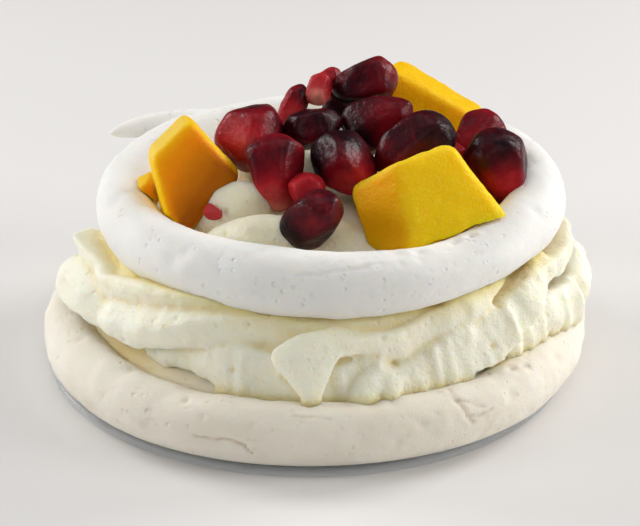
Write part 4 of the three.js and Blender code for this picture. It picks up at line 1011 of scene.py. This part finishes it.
mango_finish = mango_flesh()
for number, (node, look) in enumerate(mango_looks.items()):
    ripeness, lit_facing, painted_light_strength, shaded_facing, shade_deepening, shade_depths = look
    points, faces = melted([cad_shape(node)], mango_cell)
    points = softened(points, faces, mango_edge_rounds)
    facing = normals_of(points, faces)
    middle = points.mean(axis=0)
    size = np.linalg.norm(points - middle, axis=1).max()
    # Painted light on the faces turned one way, and painted shade as deeper orange on those turned another,
    # deepening across the piece.
    pale = painted_light_strength * np.clip(facing @ way(*lit_facing) * 2.2 - 1.1, 0, 1)
    turned_to_shade = np.clip(facing @ way(*shaded_facing) * 2 - 1, 0, 1)
    along = np.clip((points - middle) @ way(*shade_deepening) / size * 0.9 + 0.45, 0, 1)
    orange_and_painted_shade = ripeness + turned_to_shade * (shade_depths[0] + (shade_depths[1] - shade_depths[0]) * along)
    bumps = unevenness(points, (0.16, 4, 80 + number), (0.07, 1.3, 85 + number), (0.04, 0.6, 90 + number))
    points = points + facing * bumps[:, None]
    mango = piece_from(node + "_flesh", points, faces, mango_finish)
    write_tint(mango, "pale", pale)
    write_tint(mango, "orange_and_painted_shade", orange_and_painted_shade)
    write_tint(mango, "grainy", 0.4 * (1 - turned_to_shade) * (node == "mango_front"))
    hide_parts(node)
    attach(mango, "root")

# ------------------------------------------------------------------ pomegranate arils
# Seeds of pomegranate in their juicy coats, each with flats where it was packed against others.
# The skins are wet; ripe ones are nearly black red. A red glow is painted where light would shine through a
# coat, and painted shade darkens other parts.

aril_flatness = 0.95
aril_flat_turn = 23            # degrees that each aril's flats are turned from the last one's
aril_crispness = 11            # the higher, the sharper the edges between the flats
aril_steps, aril_turn_steps = 66, 60
# Places, [length, width], heading and pitch of the narrow end and how much it narrows; then how
# pale the coat is (0 is darkest), and patches of painted glow, where light would shine through, and of
# painted shade: (azimuth, elevation, change), the change above 0 for glow.
arils = [
    dict(at=(-9.8, -1, 38.1), size=(11.8, 9.6), heading=155, pitch=0, narrowing=0.3, pale=0.40,
         glow_and_shade_patches=[(250, 5, 0.12), (283, 0, 0.2), (90, 75, -0.3), (340, 0, -0.3)]),
    dict(at=(-5.1, -11, 35.7), size=(13.3, 7.8), heading=285, pitch=-60, narrowing=0.3, pale=0.3,
         glow_and_shade_patches=[(268, -62, 0.6), (270, -5, 0.16), (300, 50, -0.12), (200, 30, -0.1)]),
    dict(at=(-0.2, -15, 34.5), size=(5.8, 5.4), heading=15, pitch=35, narrowing=0.2, pale=0.44,
         glow_and_shade_patches=[(220, 50, 0.12)]),
    dict(at=(0.6, -23.4, 33.2), size=(13.2, 7.6), heading=315, pitch=42, narrowing=0.2, pale=0.13,
         glow_and_shade_patches=[(275, 15, 0.1), (190, -30, -0.25), (300, -40, -0.1)]),
    dict(at=(5.2, -9, 36.7), size=(9.6, 9.8), heading=165, pitch=-40, narrowing=0.15, pale=0.17,
         glow_and_shade_patches=[(285, -25, 0.46), (195, 10, -0.2), (90, 75, -0.2)]),
    dict(at=(-2.6, 7.5, 40.2), size=(8.8, 3.8), heading=20, pitch=65, narrowing=0.05, pale=0.40,
         glow_and_shade_patches=[(265, 0, 0.22), (350, 40, -0.3)]),
    dict(at=(1.6, 8.2, 43), size=(6.2, 3.8), heading=60, pitch=55, narrowing=0.15, pale=0.62,
         glow_and_shade_patches=[(262, -15, 0.4), (0, 20, -0.25)]),
    dict(at=(3.4, 12.2, 43.4), size=(5, 3), heading=25, pitch=35, narrowing=0.2, pale=0.42, glow_and_shade_patches=[]),
    dict(at=(0.6, 0.6, 39.1), size=(10.4, 5.8), heading=15, pitch=12, narrowing=0.2, pale=0.07,
         glow_and_shade_patches=[(250, -10, 0.1)]),
    dict(at=(9.2, 9.5, 43.7), size=(11.9, 6.5), heading=175, pitch=-18, narrowing=0.15, pale=0.15,
         glow_and_shade_patches=[(290, -20, 0.12), (30, 50, 0.2), (230, -50, -0.2)]),
    dict(at=(11.4, 2.2, 39.6), size=(12.8, 7.8), heading=345, pitch=32, narrowing=0.4, pale=0.15,
         glow_and_shade_patches=[(285, 10, 0.2), (200, -30, -0.25)]),
    dict(at=(16.5, -5.6, 38.2), size=(15.4, 7.6), heading=200, pitch=-27, narrowing=0.2, pale=0.1,
         glow_and_shade_patches=[(260, -25, 0.08), (10, 20, -0.15), (190, -20, 0.1)]),
    dict(at=(27.6, 4.8, 35.3), size=(12, 7.3), heading=240, pitch=-23, narrowing=0.2, pale=0.27,
         glow_and_shade_patches=[(255, 5, 0.12), (215, -25, 0.2)]),
    dict(at=(30.3, -5.2, 34.5), size=(13.7, 8.5), heading=315, pitch=-70, narrowing=0.3, pale=0.18,
         glow_and_shade_patches=[(280, -15, 0.3), (350, 20, -0.12), (240, 60, -0.15)]),
    dict(at=(22.4, -2, 34.6), size=(6.4, 4.8), heading=240, pitch=-10, narrowing=0.2, pale=0.5, glow_and_shade_patches=[]),
    dict(at=(6.4, 13.4, 38.6), size=(10, 7.6), heading=100, pitch=0, narrowing=0.2, pale=0.06, glow_and_shade_patches=[]),
    dict(at=(-14.7, -16.4, 31.2), size=(3.4, 2.2), heading=330, pitch=-10, narrowing=0.2, pale=0.7,
         glow_and_shade_patches=[]),
    dict(at=(-11.2, 1.6, 31.5), size=(5.2, 3.4), heading=180, pitch=25, narrowing=0.35, pale=0.4, glow_and_shade_patches=[]),
]


def aril_bead(at, size, heading, pitch, narrowing, number):
    """A juicy bead with flats, narrowing to the end that was joined to the pith."""
    flats = [(0, 90, 1), (0, -90, 1)]
    rng = np.random.default_rng(300 + number)
    for elevation, offset in ((-58, 0), (0, 36), (58, 0)):
        for k in range(5):
            azimuth = 72 * k + offset + aril_flat_turn * number
            flats.append((azimuth + rng.uniform(-12, 12), elevation + rng.uniform(-10, 10),
                          rng.uniform(0.95, 1.05)))
    turn = Matrix.Rotation(math.radians(heading), 3, "Z") @ Matrix.Rotation(math.radians(-pitch), 3, "Y")

    def section(along, around):
        ways = np.stack([np.sin(np.pi * along) * np.cos(around), np.sin(np.pi * along) * np.sin(around),
                         np.cos(np.pi * along)], axis=1)
        pressed = sum((np.maximum(0, ways @ way(a, e)) / d) ** aril_crispness for a, e, d in flats)
        bead = ways * (pressed ** (-1 / aril_crispness))[:, None]
        slim = 1 - narrowing * bead[:, 2]
        shaped = np.stack([size[0] / 2 * bead[:, 2], size[1] / 2 * slim * bead[:, 0],
                           aril_flatness * size[1] / 2 * slim * bead[:, 1]], axis=1)
        return shaped @ np.array(turn).T + at

    points, faces = closed_sweep(section, aril_steps, aril_turn_steps)
    return points, three_sided(outward_faces(points, faces))


def three_sided(faces):
    """Splits faces of four sides into two of three."""
    split = []
    for face in faces:
        split += [face] if len(face) == 3 else [(face[0], face[1], face[2]), (face[0], face[2], face[3])]
    return np.array(split)


def aril_skin():
    """The coat of an aril: wet, tight and see-through, from black red to pink."""
    material, shader = finish_named(
        "aril_skin", Roughness=0.38, Subsurface_Weight=0.3, Subsurface_Radius=(1.0, 0.1, 0.08),
        Subsurface_Scale=0.0016, Specular_IOR_Level=0.12, Coat_Weight=0.06, Coat_Roughness=0.06)
    wires = material.node_tree.links
    where = mixed_in(material, "TexCoord")
    # The coat's own tone, with painted glow and painted shade laid over it.
    tone_and_painted_glow = mixed_in(material, "Attribute", attribute_name="tone_and_painted_glow")
    speckle = mixed_in(material, "TexNoise", Vector=where, Scale=900, Detail=3)
    lowered = mixed_in(material, "Math", tone_and_painted_glow, 0.08, operation="SUBTRACT")
    mottle = mixed_in(material, "Math", speckle, 0.16, lowered, operation="MULTIPLY_ADD")
    colour = colour_blend(
        material, mottle, (0, (0.010, 0.0015, 0.004)), (0.12, (0.05, 0.002, 0.006)),
        (0.30, (0.19, 0.004, 0.010)), (0.52, (0.42, 0.014, 0.022)), (0.76, (0.52, 0.055, 0.055)),
        (1, (0.66, 0.22, 0.17)))
    wires.new(colour, shader.inputs["Base Color"])
    wrinkle = mixed_in(material, "TexNoise", Vector=where, Scale=420, Detail=4)
    relief = mixed_in(material, "Bump", Height=wrinkle, Strength=0.4, Distance=0.0005)
    grain = mixed_in(material, "TexNoise", Vector=where, Scale=1100)
    relief = mixed_in(material, "Bump", Height=grain, Strength=0.45, Distance=0.0003, Normal=relief)
    wires.new(relief, shader.inputs["Normal"])
    wires.new(relief, shader.inputs["Coat Normal"])
    return material


aril_finish = aril_skin()
for number, aril in enumerate(arils):
    node = f"aril_{number + 1:02d}"
    shape = {name: aril[name] for name in ("at", "size", "heading", "pitch", "narrowing")}
    points, faces = aril_bead(number=number, **shape)
    facing = normals_of(points, faces)
    outward = points - np.array(aril["at"])
    outward /= np.linalg.norm(outward, axis=1)[:, None]
    # The coat's own tone, then painted glow and painted shade in patches, then a little random unevenness.
    tone_and_painted_glow = np.full(len(points), aril["pale"])
    for azimuth, elevation, change in aril["glow_and_shade_patches"]:
        tone_and_painted_glow += change * np.clip(outward @ way(azimuth, elevation), 0, 1) ** 3
    tone_and_painted_glow += unevenness(points, (0.07, 2.4, 120 + number), (0.04, 1.0, 140 + number))
    bumps = unevenness(points, (0.14, 2.6, 160 + number), (0.05, 1.0, 180 + number))
    points = points + facing * bumps[:, None]
    coat = piece_from(node + "_coat", points, faces, aril_finish)
    write_tint(coat, "tone_and_painted_glow", np.clip(tone_and_painted_glow, 0, 1))
    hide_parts(node)
    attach(coat, "root")
